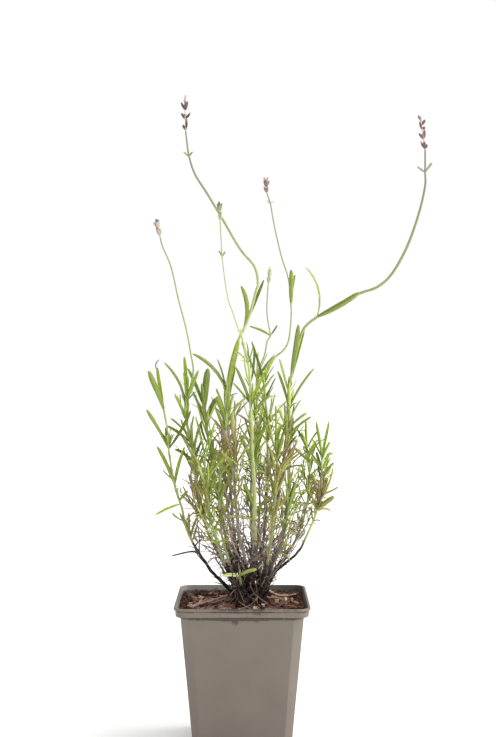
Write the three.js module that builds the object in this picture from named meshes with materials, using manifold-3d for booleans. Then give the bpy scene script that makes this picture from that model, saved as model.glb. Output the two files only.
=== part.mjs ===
// A young lavender in its square nursery pot.
//
// Units are millimetres and +Z is up. The origin is the middle of the pot's base, on the
// surface that it stands on. X runs to the right and Y away from the side the plant shows.
//
// The plant grows along routes: smooth curves through a few chosen points, one for each
// shoot. The lower stretch of a route is brown wood, and all the wood is one body with the
// crown in the soil. The upper stretch is a green stem with its leaves, a body for each
// shoot, and six of them end in a flower head. A leaf that would cross another body is
// turned a little until it is clear, and left out if it never is.

import * as THREE from "three";
import { mergeVertices } from "three/addons/utils/BufferGeometryUtils.js";
import Module from "manifold-3d";

const wasm = await Module();
wasm.setup();

// Driving dimensions

const GAP = 0.3; // between bodies that touch

const POT = {
  height: 120,
  topWidth: 101, // outside of the wall, carried on up to the rim
  footWidth: 79, // outside of the wall at the base
  wall: 1.2,
  floor: 2.4,
  topChamfer: 8.5, // flat bevel down each corner, at the rim
  footChamfer: 6.5, // and at the base
  bevelBulge: 0.1, // 0 is a flat bevel, 1 a round corner
};

// The collar round the top, with a bead along its upper edge: [height, width, corner]
const COLLAR = {
  outside: [
    [112.6, 105.6, 8.4],
    [113.3, 106.9, 9],
    [117.7, 107.3, 9.1],
    [118.1, 109.8, 10.3],
    [119.5, 110, 10.4],
    [120, 109.2, 10],
  ],
  inside: [
    [113.2, 97.3, 7.2],
    [115.4, 104.4, 7.6],
    [121, 106, 8.4],
  ],
  steps: 4,
};

const BASE = {
  recess: 1, // how far the floor is raised between the foot band and the middle pad
  footBand: 8,
  padRadius: 14,
  notchWidth: 10,
  cornerHole: { radius: 4.5, reach: 22 },
  sideHole: { radius: 3, reach: 25 },
  sides: 12,
};

const SOIL = {
  gap: 0.36, // to the pot and to the crown
  top: 110.8,
  ripple: 1.1,
  rings: [1, 0.86, 0.68, 0.5, 0.3],
  chips: 18,
  chipLength: [5, 10],
  chipWidth: [3, 5.5],
  chipThick: [1.8, 3.2],
  chipReach: 40, // furthest chip from the middle, along X or Y
  seed: 71,
};

const CROWN = {
  x: 5,
  y: 0,
  bottom: 88,
  radius: 12,
  sides: 12,
  shape: [
    [12, 114],
    [13, 116],
    [11.6, 119],
    [7, 123],
  ],
  stubs: 8,
  stubLength: [11, 24],
  stubSplay: [22, 58],
};

const WOOD = {
  sides: 5,
  startHeight: 113, // where a woody stem leaves the inside of the crown
  startSpread: 0.6, // how far out it is there, as a share of its first point's distance
  baseRadius: 2.2,
  tipRadius: 1.35,
};

const TWIG = {
  perStem: 2,
  zone: [0.35, 0.92], // stretch of the wood that carries them
  length: [22, 50],
  splay: [16, 44],
  baseRadius: 0.85,
  tipRadius: 0.5,
};

const DRY_LEAF = {
  perStem: 1,
  perTwig: 2,
  length: [9, 19],
  splay: [18, 58],
};

const STEM = {
  sides: 4, // a lavender stem is square
  baseRadius: 1.35,
  tipRadius: 1.1, // of a leafy shoot
  stalkRadius: 0.85, // of a flower stalk, under the head
  taper: 1.3,
  bend: 12, // degrees between two points that call for another between them
};

const LEAF = {
  keel: 0.85, // depth of the midrib under the blade
  width: [1.7, 3], // of a leaf this long
  length: [9, 30],
  splay: [56, 20], // from the foot of a shoot to its top
  usualTurn: 55, // degrees that a leaf set by hand is turned to show its face
  shortest: 23, // under this a leaf has the simpler form
};

// Stations along a blade: share of its length, and shares of its width and keel, and of
// its turn. The first two are alike in form, so that the faces between them are flat.
const LONG_BLADE = [
  [0, 0.315, 0.35, 0.8],
  [0.3, 0.9, 1, 0.8],
  [0.76, 0.92, 0.85, 1],
  [1, 0, 0, 1],
];
const SHORT_BLADE = [
  [0, 0.3, 0.285, 1],
  [0.5, 1, 0.95, 1],
  [1, 0, 0, 1],
];
const DRY_BLADE = [
  [0, 0.16, 0.144, 1],
  [0.45, 1, 0.9, 1],
  [1, 0, 0, 1],
];

// Tries that turn a leaf clear, in order: degrees round the stem, and degrees of splay
const TURNS = [0, 12, -12, 24, -24, 38, -38, 54, -54, 72, -72];
const LEANS = [0, 3, -5, -8, 6, -3, 8, -8, 4, -10, 9];
const SHIFTS = [0, 3, -3, 6, -6, 9, -9, 13, -13, 17, -17];

const CALYX = {
  sides: 5,
  shares: [0, 0.58, 1],
  radii: [0, 1.15, 0.8],
  seat: 0.3, // how far from the middle of the rachis it springs
  rachis: 0.7,
};

// Shoots. Wood and stem are the points of the route. A leaf set by hand is [height that it
// leaves the stem at, its tip, bow, width, turn], and bow is the angle in radians that it
// bends through. Pairs are leaves by rule, opposite each other and square to the pair
// below: [number of pairs, lowest height, highest height, length there, length here].
// A calyx is [height above the foot of the head, angle round it, splay, length].

const SHOOTS = [
  {
    name: "far_left",
    wood: [[-7, 2, 122], [-17, 0, 132], [-25, -3, 141], [-35, -7, 156], [-41, -9, 166]],
    stem: [
      [-47, -10, 180], [-50, -11, 195], [-54, -12, 207], [-56, -12, 214], [-59, -13, 231],
      [-61, -13, 244], [-61, -14, 254], [-63, -15, 267], [-65, -15, 278],
    ],
    leaves: [
      [199, [-72, -20, 191], 0.9, 2.8],
      [201, [-45, -14, 210], 0.3, 2.6],
      [214, [-70, -20, 247], 0.3, 3.4],
      [214, [-48, -8, 246], 0.35, 3.2],
      [244, [-79, -16, 277], 0.15, 3.4],
      [244, [-43, -6, 276], -0.3, 2.8],
      [276.5, [-77, -20, 309], 0.1, 4.4, 75],
      [277, [-71, -10, 312], 0.25, 2],
    ],
    pairs: [5, 184, 252, 12, 13],
  },
  {
    name: "left_flowering",
    wood: [[-4, -4, 125], [-15, -6, 150], [-23, -6, 163]],
    stem: [
      [-29, -6, 175], [-33, -5, 189], [-36, -4, 205], [-39, -4, 226], [-40, -4, 240],
      [-44, -4, 251], [-46, -3, 265], [-48, -3, 276], [-47, -3, 285], [-44, -3, 294],
      [-42, -3, 302], [-41, -3, 311], [-43, -4, 323], [-45, -5, 335], [-48, -6, 349],
      [-53, -8, 368], [-59, -11, 395], [-66, -13, 412], [-68, -14, 420],
    ],
    leaves: [
      [279, [-65, -8, 316], 0.55, 2.2, 30],
      [283, [-49, 4, 321], 0.2, 2.8],
      [268, [-56, -10, 290], 0.2, 2.6],
      [235, [-34, -2, 252], 0.2, 2.4],
      [240, [-52, -9, 256], 0.3, 2.4],
    ],
    pairs: [8, 170, 282, 13, 30],
    head: {
      tip: [-71, -15, 434],
      calyces: [
        [0, 180, 20, 5.6], [0, 0, 18, 5.6],
        [5.4, 180, 20, 6.6], [5.4, 0, 20, 6.6], [5.6, 270, 22, 6], [9.6, 90, 6, 4.4],
      ],
    },
  },
  {
    name: "broad_leaved",
    wood: [[-2, 6, 123], [-8, 8, 145], [-14, 10, 166]],
    stem: [[-18, 11, 187], [-22, 11, 208], [-27, 10, 238], [-30, 9, 259], [-32, 8, 277]],
    leaves: [
      [276.5, [-29, 6, 311], 0.15, 6, 80],
      [276, [-47, 5, 311], 0.2, 2.6],
      [267, [-22, 15, 286], 0.1, 4.6, 75],
      [259, [-42, 2, 292], 0.1, 2.6],
    ],
    pairs: [8, 176, 272, 14, 33],
  },
  {
    name: "tall_flowering",
    wood: [[1, -8, 125], [-4, -12, 152], [-7, -14, 178]],
    stem: [
      [-9, -15, 202], [-11, -15, 223], [-12, -15, 240], [-13, -15, 262], [-13, -15, 290],
      [-9, -13, 317], [-3, -12, 335], [0, -12, 341], [6, -11, 355], [11, -10, 374],
      [13, -9, 382], [10, -7, 396], [-2, -3, 411], [-17, 2, 437], [-30, 6, 459],
      [-40, 8, 475], [-45, 9, 490], [-47, 10, 503], [-48, 10, 512],
    ],
    leaves: [
      [214, [-27, -22, 213], 0.5, 2.6, 40],
      [290, [-41, -20, 323], 0.5, 3, 50],
      [289, [-3, -20, 335], 0.1, 5.2, 75],
      [270, [-6, -8, 313], 0.35, 3],
      [266, [-21, -22, 288], 0.2, 4.6, 75],
      [341, [-1, -17, 379], 0.5, 4, 75],
      [341, [18, -4, 385], 0.1, 2.8],
      [490, [-49.5, 7, 494], 0.1, 1.7],
      [490, [-42, 12, 494.5], 0.1, 1.7],
    ],
    pairs: [8, 186, 286, 15, 32],
    head: {
      tip: [-49, 12, 543],
      calyces: [
        [0, 180, 28, 5], [0.2, 330, 12, 8], [0.2, 80, 26, 6],
        [9.4, 180, 34, 6], [9.8, 0, 46, 5.6], [9.6, 90, 28, 5],
        [17.4, 180, 26, 7], [17.6, 0, 24, 7.2], [17.2, 270, 24, 4.6], [24.4, 0, 3, 5.8],
      ],
    },
  },
  {
    name: "centre_flowering",
    wood: [[7, -10, 126], [10, -16, 149], [10, -18, 166]],
    stem: [
      [10, -19, 181], [10, -19, 198], [10, -19, 214], [9, -19, 229], [8, -18, 245],
      [8, -17, 260], [7, -17, 281], [6, -18, 308], [3, -20, 324], [0, -21, 336],
      [-3, -22, 343], [-7, -22, 355], [-12, -23, 370], [-16, -24, 398], [-17, -25, 412],
      [-18, -26, 431],
    ],
    girth: 1.5,
    leaves: [
      [186, [-15, -32, 190], 0.4, 2.8, 40],
      [188, [23, -14, 206], 0.5, 2.8],
      [193, [1, -28, 217], 0.4, 4.6, 80],
      [229, [-2, -25, 256], 0.3, 4, 80],
      [229, [18, -12, 262], 0.3, 3.4],
      [281, [-5, -24, 312], 0.2, 2.6],
      [281, [20, -12, 311], 0.25, 3],
      [402, [-19, -27, 407], 0.1, 1.6],
      [402, [-14, -22, 407], 0.1, 1.6],
    ],
    pairs: [5, 248, 314, 24, 32],
    head: {
      tip: [-19, -26, 447],
      calyces: [
        [0, 180, 18, 7], [0, 0, 18, 7],
        [6.2, 180, 18, 6.2], [6.2, 0, 18, 6.4], [6.4, 270, 22, 6], [10.8, 90, 6, 4.6],
      ],
    },
  },
  {
    name: "small_flowering",
    wood: [[6, 8, 122], [8, 14, 148], [8, 18, 173]],
    stem: [
      [7, 20, 199], [8, 20, 220], [9, 20, 235], [10, 19, 250], [11, 18, 267], [12, 17, 284],
      [12, 16, 301], [15, 16, 313], [19, 16, 323], [21, 16, 334], [24, 16, 339],
      [23, 16, 344], [21, 17, 357], [21, 18, 369], [22, 19, 383],
    ],
    leaves: [
      [339, [6, 12, 347], 0.45, 2.4],
      [339, [30, 20, 348], -0.3, 1.8],
      [301, [-1, 14, 333], 0.2, 2.6],
      [301, [27, 22, 322], 0.3, 2.6],
    ],
    pairs: [8, 182, 300, 14, 30],
    head: {
      tip: [24, 20, 399],
      calyces: [
        [0, 180, 18, 5.6], [0, 0, 18, 5.6], [5, 180, 18, 6], [5, 0, 18, 6], [9.6, 90, 4, 5],
      ],
    },
  },
  {
    name: "middle_flowering",
    wood: [[11, 2, 123], [15, 2, 146], [18, 2, 171]],
    stem: [
      [20, 2, 196], [21, 2, 217], [21, 2, 232], [21, 1, 247], [21, 1, 268], [19, 1, 285],
      [18, 1, 297], [19, 1, 308], [22, 2, 315], [28, 3, 321], [35, 4, 327], [39, 5, 335],
      [41, 6, 352], [41, 8, 365], [39, 12, 387], [33, 16, 407], [27, 20, 434],
      [24, 23, 452], [21, 24, 461],
    ],
    leaves: [
      [365, [41, 3, 394], 0.15, 4, 80],
      [365, [45, 18, 391], 0.25, 2.8],
      [297, [8, 6, 334], 0.2, 2.4],
      [452, [21.5, 22, 455], 0.1, 1.6],
      [452, [27, 25, 455], 0.1, 1.6],
    ],
    pairs: [8, 180, 300, 15, 29],
    head: {
      tip: [20, 25, 476],
      calyces: [
        [0, 180, 18, 5], [0.2, 0, 16, 4.8],
        [4.8, 180, 22, 6], [4.8, 0, 22, 6], [5, 270, 20, 6], [9.6, 180, 22, 4], [9.6, 0, 24, 4],
      ],
    },
  },
  {
    name: "right_flowering",
    wood: [[14, -4, 125], [20, -6, 147], [25, -8, 173]],
    stem: [
      [29, -10, 198], [32, -11, 219], [34, -12, 235], [37, -12, 255], [39, -12, 273],
      [38, -12, 287], [40, -12, 301], [43, -12, 318], [46, -12, 330], [51, -12, 344],
      [61, -13, 353], [79, -15, 364], [97, -17, 373], [111, -19, 378], [123, -21, 389],
      [135, -24, 411], [144, -26, 437], [149, -27, 459], [149, -28, 471], [149, -28, 489],
    ],
    leaves: [
      [301, [46, -20, 347], 0.15, 4.4, 75],
      [301, [52, -5, 345], 0.15, 3.6],
      [353, [96, -25, 373], -0.25, 5, 80],
      [353, [52, -10, 395], 1.2, 2.4],
      [277, [59, -16, 311], -0.4, 2],
      [277, [29, -8, 309], 0.2, 3],
      [255, [57, -15, 271], 0.2, 2.6],
      [471, [142, -32, 475], 0.1, 2.1],
      [471, [155, -25, 479], 0.1, 2.1],
    ],
    pairs: [8, 182, 290, 14, 28],
    head: {
      tip: [145, -28, 517],
      calyces: [
        [0, 180, 22, 6.2], [0.4, 0, 36, 3.4], [0.2, 270, 15, 5.4],
        [8.2, 180, 30, 5.4], [8.4, 0, 22, 6.8], [8, 90, 15, 5],
        [16, 180, 16, 6], [16.4, 0, 58, 2.6], [19.6, 0, 38, 5], [23.2, 180, 14, 4.8],
      ],
    },
  },
  {
    name: "far_right",
    wood: [[16, -2, 124], [23, -4, 138], [34, -6, 147], [46, -8, 158], [51, -9, 167]],
    stem: [
      [57, -10, 180], [62, -10, 193], [64, -10, 206], [66, -10, 219], [66, -10, 228],
      [66, -10, 238],
    ],
    leaves: [
      [237, [61, -13, 267], 0.1, 2.6],
      [237, [72, -8, 267], 0.05, 2.8],
      [236, [58, -6, 252], 0.1, 2.2],
      [228, [57, -14, 238], 0.1, 2.2],
      [219, [76, -14, 233], 0.8, 2.2],
      [206, [80, -7, 213], -0.2, 2.2],
      [193, [76, -13, 205], 0.2, 4.4, 75],
      [196, [52, -14, 212], 0.2, 2.8],
    ],
    pairs: [7, 184, 234, 16, 20],
  },
  {
    name: "inner_right",
    wood: [[18, 10, 122], [32, 16, 144], [43, 18, 160]],
    stem: [
      [49, 19, 173], [53, 19, 186], [56, 19, 201], [57, 18, 216], [57, 18, 231], [55, 18, 243],
    ],
    leaves: [
      [242, [54, 14, 268], 0.1, 2.4],
      [231, [43, 14, 245], 0.1, 2.8],
      [242, [66, 22, 259], 0.4, 2],
      [242, [47, 22, 259], 0.1, 2.2],
    ],
    pairs: [8, 176, 238, 15, 21],
  },
  {
    name: "low_right",
    wood: [[16, -14, 128], [24, -20, 147]],
    stem: [[31, -24, 163], [35, -26, 180], [37, -26, 196], [37, -26, 213]],
    leaves: [
      [184, [44, -28, 219], 0.15, 4.4, 75],
      [184, [28, -26, 214], 0.2, 4.4, 75],
    ],
    pairs: [5, 166, 211, 12, 20],
  },
  {
    name: "low_front",
    wood: [[0, -13, 123], [-1, -20, 133]],
    stem: [[-2, -23, 140], [-2, -25, 147]],
    leaves: [
      [140.5, [-17, -28, 143], 0.7, 3.4, 50],
      [141, [11.5, -29, 149], 0.4, 3.4, 50],
    ],
    pairs: [2, 140, 145, 9, 8],
  },
  {
    name: "low_left",
    wood: [[-2, -14, 128], [-8, -20, 144]],
    stem: [
      [-12, -22, 157], [-16, -24, 171], [-18, -25, 187], [-19, -26, 204], [-18, -26, 220],
      [-17, -26, 235],
    ],
    leaves: [],
    pairs: [9, 150, 233, 11, 18],
  },
  {
    name: "front_left",
    wood: [[-4, -12, 130], [-14, -27, 150]],
    stem: [[-21, -36, 172], [-26, -43, 196], [-29, -47, 219], [-30, -48, 243]],
    leaves: [],
    pairs: [7, 158, 241, 12, 31],
  },
  {
    name: "front_middle",
    wood: [[4, -12, 130], [3, -28, 152]],
    stem: [[-2, -38, 175], [-5, -44, 200], [-6, -48, 224], [-5, -49, 250]],
    leaves: [],
    pairs: [6, 162, 248, 14, 30],
  },
  {
    name: "front_right",
    wood: [[13, -10, 130], [20, -28, 152]],
    stem: [[24, -37, 178], [26, -42, 202], [28, -45, 226], [27, -46, 254]],
    leaves: [],
    pairs: [6, 164, 252, 14, 29],
  },
  {
    name: "back_left",
    wood: [[-3, 8, 126], [-17, 20, 146]],
    stem: [[-28, 29, 165], [-35, 35, 185], [-40, 39, 208], [-43, 42, 238]],
    leaves: [],
    pairs: [6, 155, 236, 14, 30],
  },
  {
    name: "back_middle",
    wood: [[2, 10, 128], [-6, 26, 150]],
    stem: [[-11, 38, 174], [-14, 44, 198], [-16, 49, 225], [-17, 52, 257]],
    leaves: [],
    pairs: [6, 162, 255, 14, 32],
  },
  {
    name: "back_tall",
    wood: [[8, 11, 128], [12, 28, 150]],
    stem: [[14, 40, 172], [15, 47, 196], [14, 52, 222], [12, 56, 254]],
    leaves: [],
    pairs: [6, 162, 252, 14, 30],
  },
  {
    name: "back_right",
    wood: [[13, 8, 127], [26, 23, 147]],
    stem: [[34, 35, 166], [38, 42, 188], [41, 46, 212], [41, 48, 242]],
    leaves: [],
    pairs: [6, 156, 240, 14, 27],
  },
];

// A bare twig that sticks out on the left
const BARE_TWIG = {
  points: [[-36, -7, 157], [-41, -8, 159], [-49, -10, 158], [-58, -12, 156]],
  radius: 0.8,
};

const PLANT_SEED = 2024;
const AWAY = new THREE.Vector3(0, 1, 0); // the frame of every route is taken from this

// Small helpers

const vector = ([x, y, z]) => new THREE.Vector3(x, y, z);
const radians = THREE.MathUtils.degToRad;
const mix = THREE.MathUtils.lerp;

// The same plant grows at every build
function randomStream(seed) {
  let state = seed >>> 0;
  return () => {
    state = (Math.imul(state, 1664525) + 1013904223) >>> 0;
    return state / 2 ** 32;
  };
}

const between = (draw, [low, high]) => low + (high - low) * draw();
const spread = (draw, reach) => (2 * draw() - 1) * reach;

// Solids

// Skins a row of rings that run anticlockwise seen from the last one. An end may be a point.
function loft(rings) {
  const points = rings.flat();
  const starts = rings.map((_, k) => rings.slice(0, k).reduce((sum, ring) => sum + ring.length, 0));
  const faces = [];
  for (let k = 0; k + 1 < rings.length; k++) {
    const [low, high] = [starts[k], starts[k + 1]];
    const [n, m] = [rings[k].length, rings[k + 1].length];
    for (let i = 0; i < Math.max(n, m); i++) {
      const next = (i + 1) % Math.max(n, m);
      if (n > 1) faces.push(low + i, low + next, high + (m > 1 ? next : 0));
      if (m > 1) faces.push(low + (n > 1 ? i : 0), high + next, high + i);
    }
  }
  const last = starts.at(-1);
  for (let i = 1; i + 1 < rings[0].length; i++) faces.push(0, i + 1, i);
  for (let i = 1; i + 1 < rings.at(-1).length; i++) faces.push(last, last + i, last + i + 1);
  return new THREE.BufferGeometry().setFromPoints(points).setIndex(faces);
}

function toSolid(geometry) {
  const bare = geometry.clone();
  bare.deleteAttribute("normal");
  bare.deleteAttribute("uv");
  const merged = mergeVertices(bare, 1e-4);
  const vertProperties = new Float32Array(merged.attributes.position.array);
  const triVerts = new Uint32Array(merged.index.array);
  return new wasm.Manifold(new wasm.Mesh({ numProp: 3, vertProperties, triVerts }));
}

function toGeometry(solid) {
  const mesh = solid.getMesh();
  const geometry = new THREE.BufferGeometry();
  geometry.setAttribute("position", new THREE.BufferAttribute(mesh.vertProperties, 3));
  geometry.setIndex(new THREE.BufferAttribute(mesh.triVerts, 1));
  return geometry;
}

// Joins solids into one body, and drops any loose scrap
function fuse(solids) {
  const pieces = wasm.Manifold.union(solids).decompose();
  return pieces.reduce((most, piece) => (piece.volume() > most.volume() ? piece : most));
}

// Routes and frames

function route(points) {
  return new THREE.CatmullRomCurve3(points.map(vector), false, "catmullrom", 0.5);
}

// Right and back are square to the direction of growth: an upright stem has them on X and Y
function frameOf(along) {
  const right = AWAY.clone().cross(along).normalize();
  return { right, back: along.clone().cross(right) };
}

function ringAt({ point, along, radius }, sides, roll) {
  if (radius === 0) return [point];
  const { right, back } = frameOf(along);
  return Array.from({ length: sides }, (_, i) => {
    const angle = (2 * Math.PI * (i + 0.5)) / sides + radians(roll);
    const out = right.clone().multiplyScalar(Math.cos(angle) * radius);
    return out.addScaledVector(back, Math.sin(angle) * radius).add(point);
  });
}

// A rod through stations of { point, along, radius }
function rod(stations, sides, roll = 0) {
  return toSolid(loft(stations.map((station) => ringAt(station, sides, roll))));
}

// A station at each of a route's own points, and one between two where it bends
function stationsOn(curve, first, last, radiusAt) {
  const spans = curve.points.length - 1;
  const times = [first / spans];
  for (let k = first + 1; k <= last; k++) {
    const bend = curve.getTangent((k - 1) / spans).angleTo(curve.getTangent(k / spans));
    if (bend > radians(STEM.bend)) times.push((k - 0.5) / spans);
    times.push(k / spans);
  }
  return times.map((t) => ({
    point: curve.getPoint(t),
    along: curve.getTangent(t),
    radius: radiusAt((t * spans - first) / (last - first)),
  }));
}

// A seat on a rod, where a leaf or a twig springs: some of the way from one station on
function seatOn(stations, place) {
  const k = Math.min(Math.floor(place), stations.length - 2);
  const [from, to] = [stations[k], stations[k + 1]];
  return {
    base: from.point.clone().lerp(to.point, place - k),
    along: from.along.clone().lerp(to.along, place - k).normalize(),
  };
}

// The seat at a height on a rod that climbs all the way
function seatAtHeight(stations, height) {
  const above = stations.findIndex(({ point }) => point.z >= height);
  const [low, high] = [stations[above - 1].point.z, stations[above].point.z];
  return seatOn(stations, above - 1 + (height - low) / (high - low));
}

// Leaves. A leaf's midrib is an arc that starts along dir and bends towards out.

function leafPoint(leaf, share) {
  const bend = Math.abs(leaf.curl) < 1e-6 ? 1e-6 : leaf.curl;
  const forward = (Math.sin(bend * share) / bend) * leaf.length;
  const outward = ((1 - Math.cos(bend * share)) / bend) * leaf.length;
  return leaf.base.clone().addScaledVector(leaf.dir, forward).addScaledVector(leaf.out, outward);
}

function leafAlong(leaf, share) {
  const angle = leaf.curl * share;
  return leaf.dir.clone().multiplyScalar(Math.cos(angle)).addScaledVector(leaf.out, Math.sin(angle));
}

// A leaf from a place on a stem to a tip, bowed away from the stem by an angle
function leafToTip({ base, along }, tip, bow, width, turn) {
  const chord = tip.clone().sub(base);
  const span = chord.length();
  const straight = chord.divideScalar(span);
  const away = straight.clone().multiplyScalar(along.dot(straight)).sub(along).normalize();
  const half = Math.abs(bow) < 1e-6 ? 1e-6 : bow / 2;
  const dir = straight.clone().multiplyScalar(Math.cos(half)).addScaledVector(away, -Math.sin(half));
  const out = straight.clone().multiplyScalar(Math.sin(half)).addScaledVector(away, Math.cos(half));
  return { base, dir, out, length: (span * half) / Math.sin(half), curl: 2 * half, width, turn };
}

// A leaf from a place on a stem, by its angle round the stem and its splay from it
function leafBySplay({ base, along }, azimuth, splay, shape) {
  const { right, back } = frameOf(along);
  const side = right.clone().multiplyScalar(Math.cos(radians(azimuth)));
  side.addScaledVector(back, Math.sin(radians(azimuth)));
  const lean = radians(splay);
  const dir = along.clone().multiplyScalar(Math.cos(lean)).addScaledVector(side, Math.sin(lean));
  const out = side.clone().multiplyScalar(Math.cos(lean)).addScaledVector(along, -Math.sin(lean));
  return { base, dir, out, ...shape };
}

const leafWidth = (length) => {
  const share = (length - LEAF.length[0]) / (LEAF.length[1] - LEAF.length[0]);
  return mix(LEAF.width[0], LEAF.width[1], Math.min(1, Math.max(0, share)));
};

// A three-sided blade: a flat upper face, and a keel for the midrib below
function blade(leaf, stations = leaf.length < LEAF.shortest ? SHORT_BLADE : LONG_BLADE) {
  const rings = stations.map(([share, width, keel, turn], k) => {
    const point = leafPoint(leaf, share);
    if (width === 0) return [point];
    const along = leafAlong(leaf, k === 0 ? stations[1][0] : share);
    const flat = leaf.dir.clone().cross(leaf.out);
    const up = flat.cross(along).applyAxisAngle(along, radians(leaf.turn * turn));
    const side = up.clone().cross(along);
    const half = (leaf.width * width) / 2;
    return [
      point.clone().addScaledVector(side, half),
      point.clone().addScaledVector(side, -half),
      point.clone().addScaledVector(up, -LEAF.keel * keel),
    ];
  });
  return toSolid(loft(rings));
}

// Clearance between what grows in different bodies

function rodGap(p1, q1, p2, q2) {
  const d1 = q1.clone().sub(p1);
  const d2 = q2.clone().sub(p2);
  const r = p1.clone().sub(p2);
  const [a, e, f, c, b] = [d1.dot(d1), d2.dot(d2), d2.dot(r), d1.dot(r), d1.dot(d2)];
  const clamp = (x) => Math.min(1, Math.max(0, x));
  const spare = a * e - b * b;
  let s = spare > 1e-9 ? clamp((b * f - c * e) / spare) : 0;
  let t = (b * s + f) / e;
  if (t < 0 || t > 1) {
    t = clamp(t);
    s = clamp((b * t - c) / a);
  }
  return p1.clone().addScaledVector(d1, s).distanceTo(p2.clone().addScaledVector(d2, t));
}

const MARGIN = 0.22; // on each side
const LOWEST = 115.6; // clear of the soil and its chips
const LEAF_CHECKS = [0, 0.25, 0.5, 0.75, 1];
const SAME_BODY_SHARE = 0.85; // leaves of one body may come this much closer
const rods = [];

function addRods(body, points, radius, isLeaf) {
  for (let k = 0; k + 1 < points.length; k++) {
    rods.push({ body, a: points[k], b: points[k + 1], radius, leafPart: isLeaf ? k : -1 });
  }
}

function isClear(body, points, radius) {
  if (points.some((point) => point.z - radius < LOWEST)) return false;
  for (let k = 0; k + 1 < points.length; k++) {
    for (const other of rods) {
      const same = other.body === body;
      if (same && (other.leafPart < 1 || k < 1)) continue;
      const wanted = (radius + other.radius) * (same ? SAME_BODY_SHARE : 1);
      if (rodGap(points[k], points[k + 1], other.a, other.b) < wanted) return false;
    }
  }
  return true;
}

// Keeps the first try that is clear, or nothing
function placed(body, tries) {
  for (const leaf of tries) {
    const points = LEAF_CHECKS.map((share) => leafPoint(leaf, share));
    const radius = leaf.width / 2 + MARGIN;
    if (!isClear(body, points, radius)) continue;
    addRods(body, points, radius, true);
    return [leaf];
  }
  return [];
}

const turnedTries = (seat, azimuth, splay, shape) =>
  TURNS.map((angle, n) => leafBySplay(seat, azimuth + angle, splay + LEANS[n], shape));

// The plan of the plant: every stem first, then the leaves set by hand, then those by rule

function planStem(shoot, index) {
  const [first] = shoot.wood;
  const start = [
    mix(CROWN.x, first[0], WOOD.startSpread),
    mix(CROWN.y, first[1], WOOD.startSpread),
    WOOD.startHeight,
  ];
  const points = [start, ...shoot.wood, ...shoot.stem];
  const split = shoot.wood.length;
  const curve = route(points);
  const girth = shoot.girth ?? 1;
  const topRadius = shoot.head ? STEM.stalkRadius : STEM.tipRadius;
  const woodRadius = (share) => mix(WOOD.baseRadius, WOOD.tipRadius, share) * girth;
  const stemRadius = (share) => mix(topRadius, STEM.baseRadius * girth, (1 - share) ** STEM.taper);
  const plan = {
    ...shoot,
    body: `leafy_stem_${String(index + 1).padStart(2, "0")}`,
    roll: 37 * index,
    woodStations: stationsOn(curve, 0, split, woodRadius),
    stemStations: stationsOn(curve, split, points.length - 1, stemRadius),
    green: [],
    dry: [],
    twigs: [],
  };
  addRods("wood", plan.woodStations.map((s) => s.point), WOOD.baseRadius * girth, false);
  addRods(plan.body, plan.stemStations.map((s) => s.point), STEM.baseRadius * girth + MARGIN, false);
  if (shoot.head) addRods(`head of ${plan.body}`, [curve.getPoint(1), vector(shoot.head.tip)], 3.2, false);
  return plan;
}

function placeSetLeaves(plan) {
  for (const [height, tip, bow, width, turn = LEAF.usualTurn] of plan.leaves) {
    const seat = seatAtHeight(plan.stemStations, height);
    const tries = SHIFTS.map((shift) => {
      const end = vector(tip);
      end.y += shift;
      return leafToTip(seat, end, bow, width, turn);
    });
    plan.green.push(...placed(plan.body, tries));
  }
}

function placePairs(plan, draw) {
  const [count, low, high, lowLength, highLength] = plan.pairs;
  for (let k = 0; k < count; k++) {
    const share = k / (count - 1);
    const seat = seatAtHeight(plan.stemStations, mix(low, high, share));
    for (const side of [0, 180]) {
      const azimuth = plan.roll + 90 * k + side + spread(draw, 6);
      const splay = mix(LEAF.splay[0], LEAF.splay[1], share) + spread(draw, 8);
      const length = mix(lowLength, highLength, share) * between(draw, [0.82, 1.12]);
      const curl = radians(spread(draw, 30) - 8);
      const shape = { length, curl, width: leafWidth(length), turn: spread(draw, 70) };
      plan.green.push(...placed(plan.body, turnedTries(seat, azimuth, splay, shape)));
    }
  }
}

// Dry leaves up a rod, from one place on it to another
function placeDryLeaves(plan, stations, from, count, draw) {
  for (let k = 0; k < count; k++) {
    const place = mix(from, stations.length - 1, (k + 0.35 + 0.6 * draw()) / count);
    const azimuth = 137.5 * k + 360 * draw();
    const splay = between(draw, DRY_LEAF.splay);
    const length = between(draw, DRY_LEAF.length);
    const curl = radians(spread(draw, 85));
    const shape = { length, curl, width: leafWidth(length), turn: spread(draw, 80) };
    plan.dry.push(...placed("wood", turnedTries(seatOn(stations, place), azimuth, splay, shape)));
  }
}

function placeTwigs(plan, draw) {
  const [low, high] = TWIG.zone;
  for (let k = 0; k < TWIG.perStem; k++) {
    const place = mix(low, high, (k + draw()) / TWIG.perStem) * (plan.woodStations.length - 1);
    const length = between(draw, TWIG.length);
    const shape = { length, curl: radians(spread(draw, 18) - 22), width: 2.2, turn: 0 };
    const seat = seatOn(plan.woodStations, place);
    const tries = turnedTries(seat, 360 * draw(), between(draw, TWIG.splay), shape);
    plan.twigs.push(...placed("wood", tries).map(twigStations));
  }
}

function twigStations(twig) {
  return [0, 0.5, 1].map((share) => ({
    point: leafPoint(twig, share),
    along: leafAlong(twig, share),
    radius: mix(TWIG.baseRadius, TWIG.tipRadius, share),
  }));
}

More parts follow.
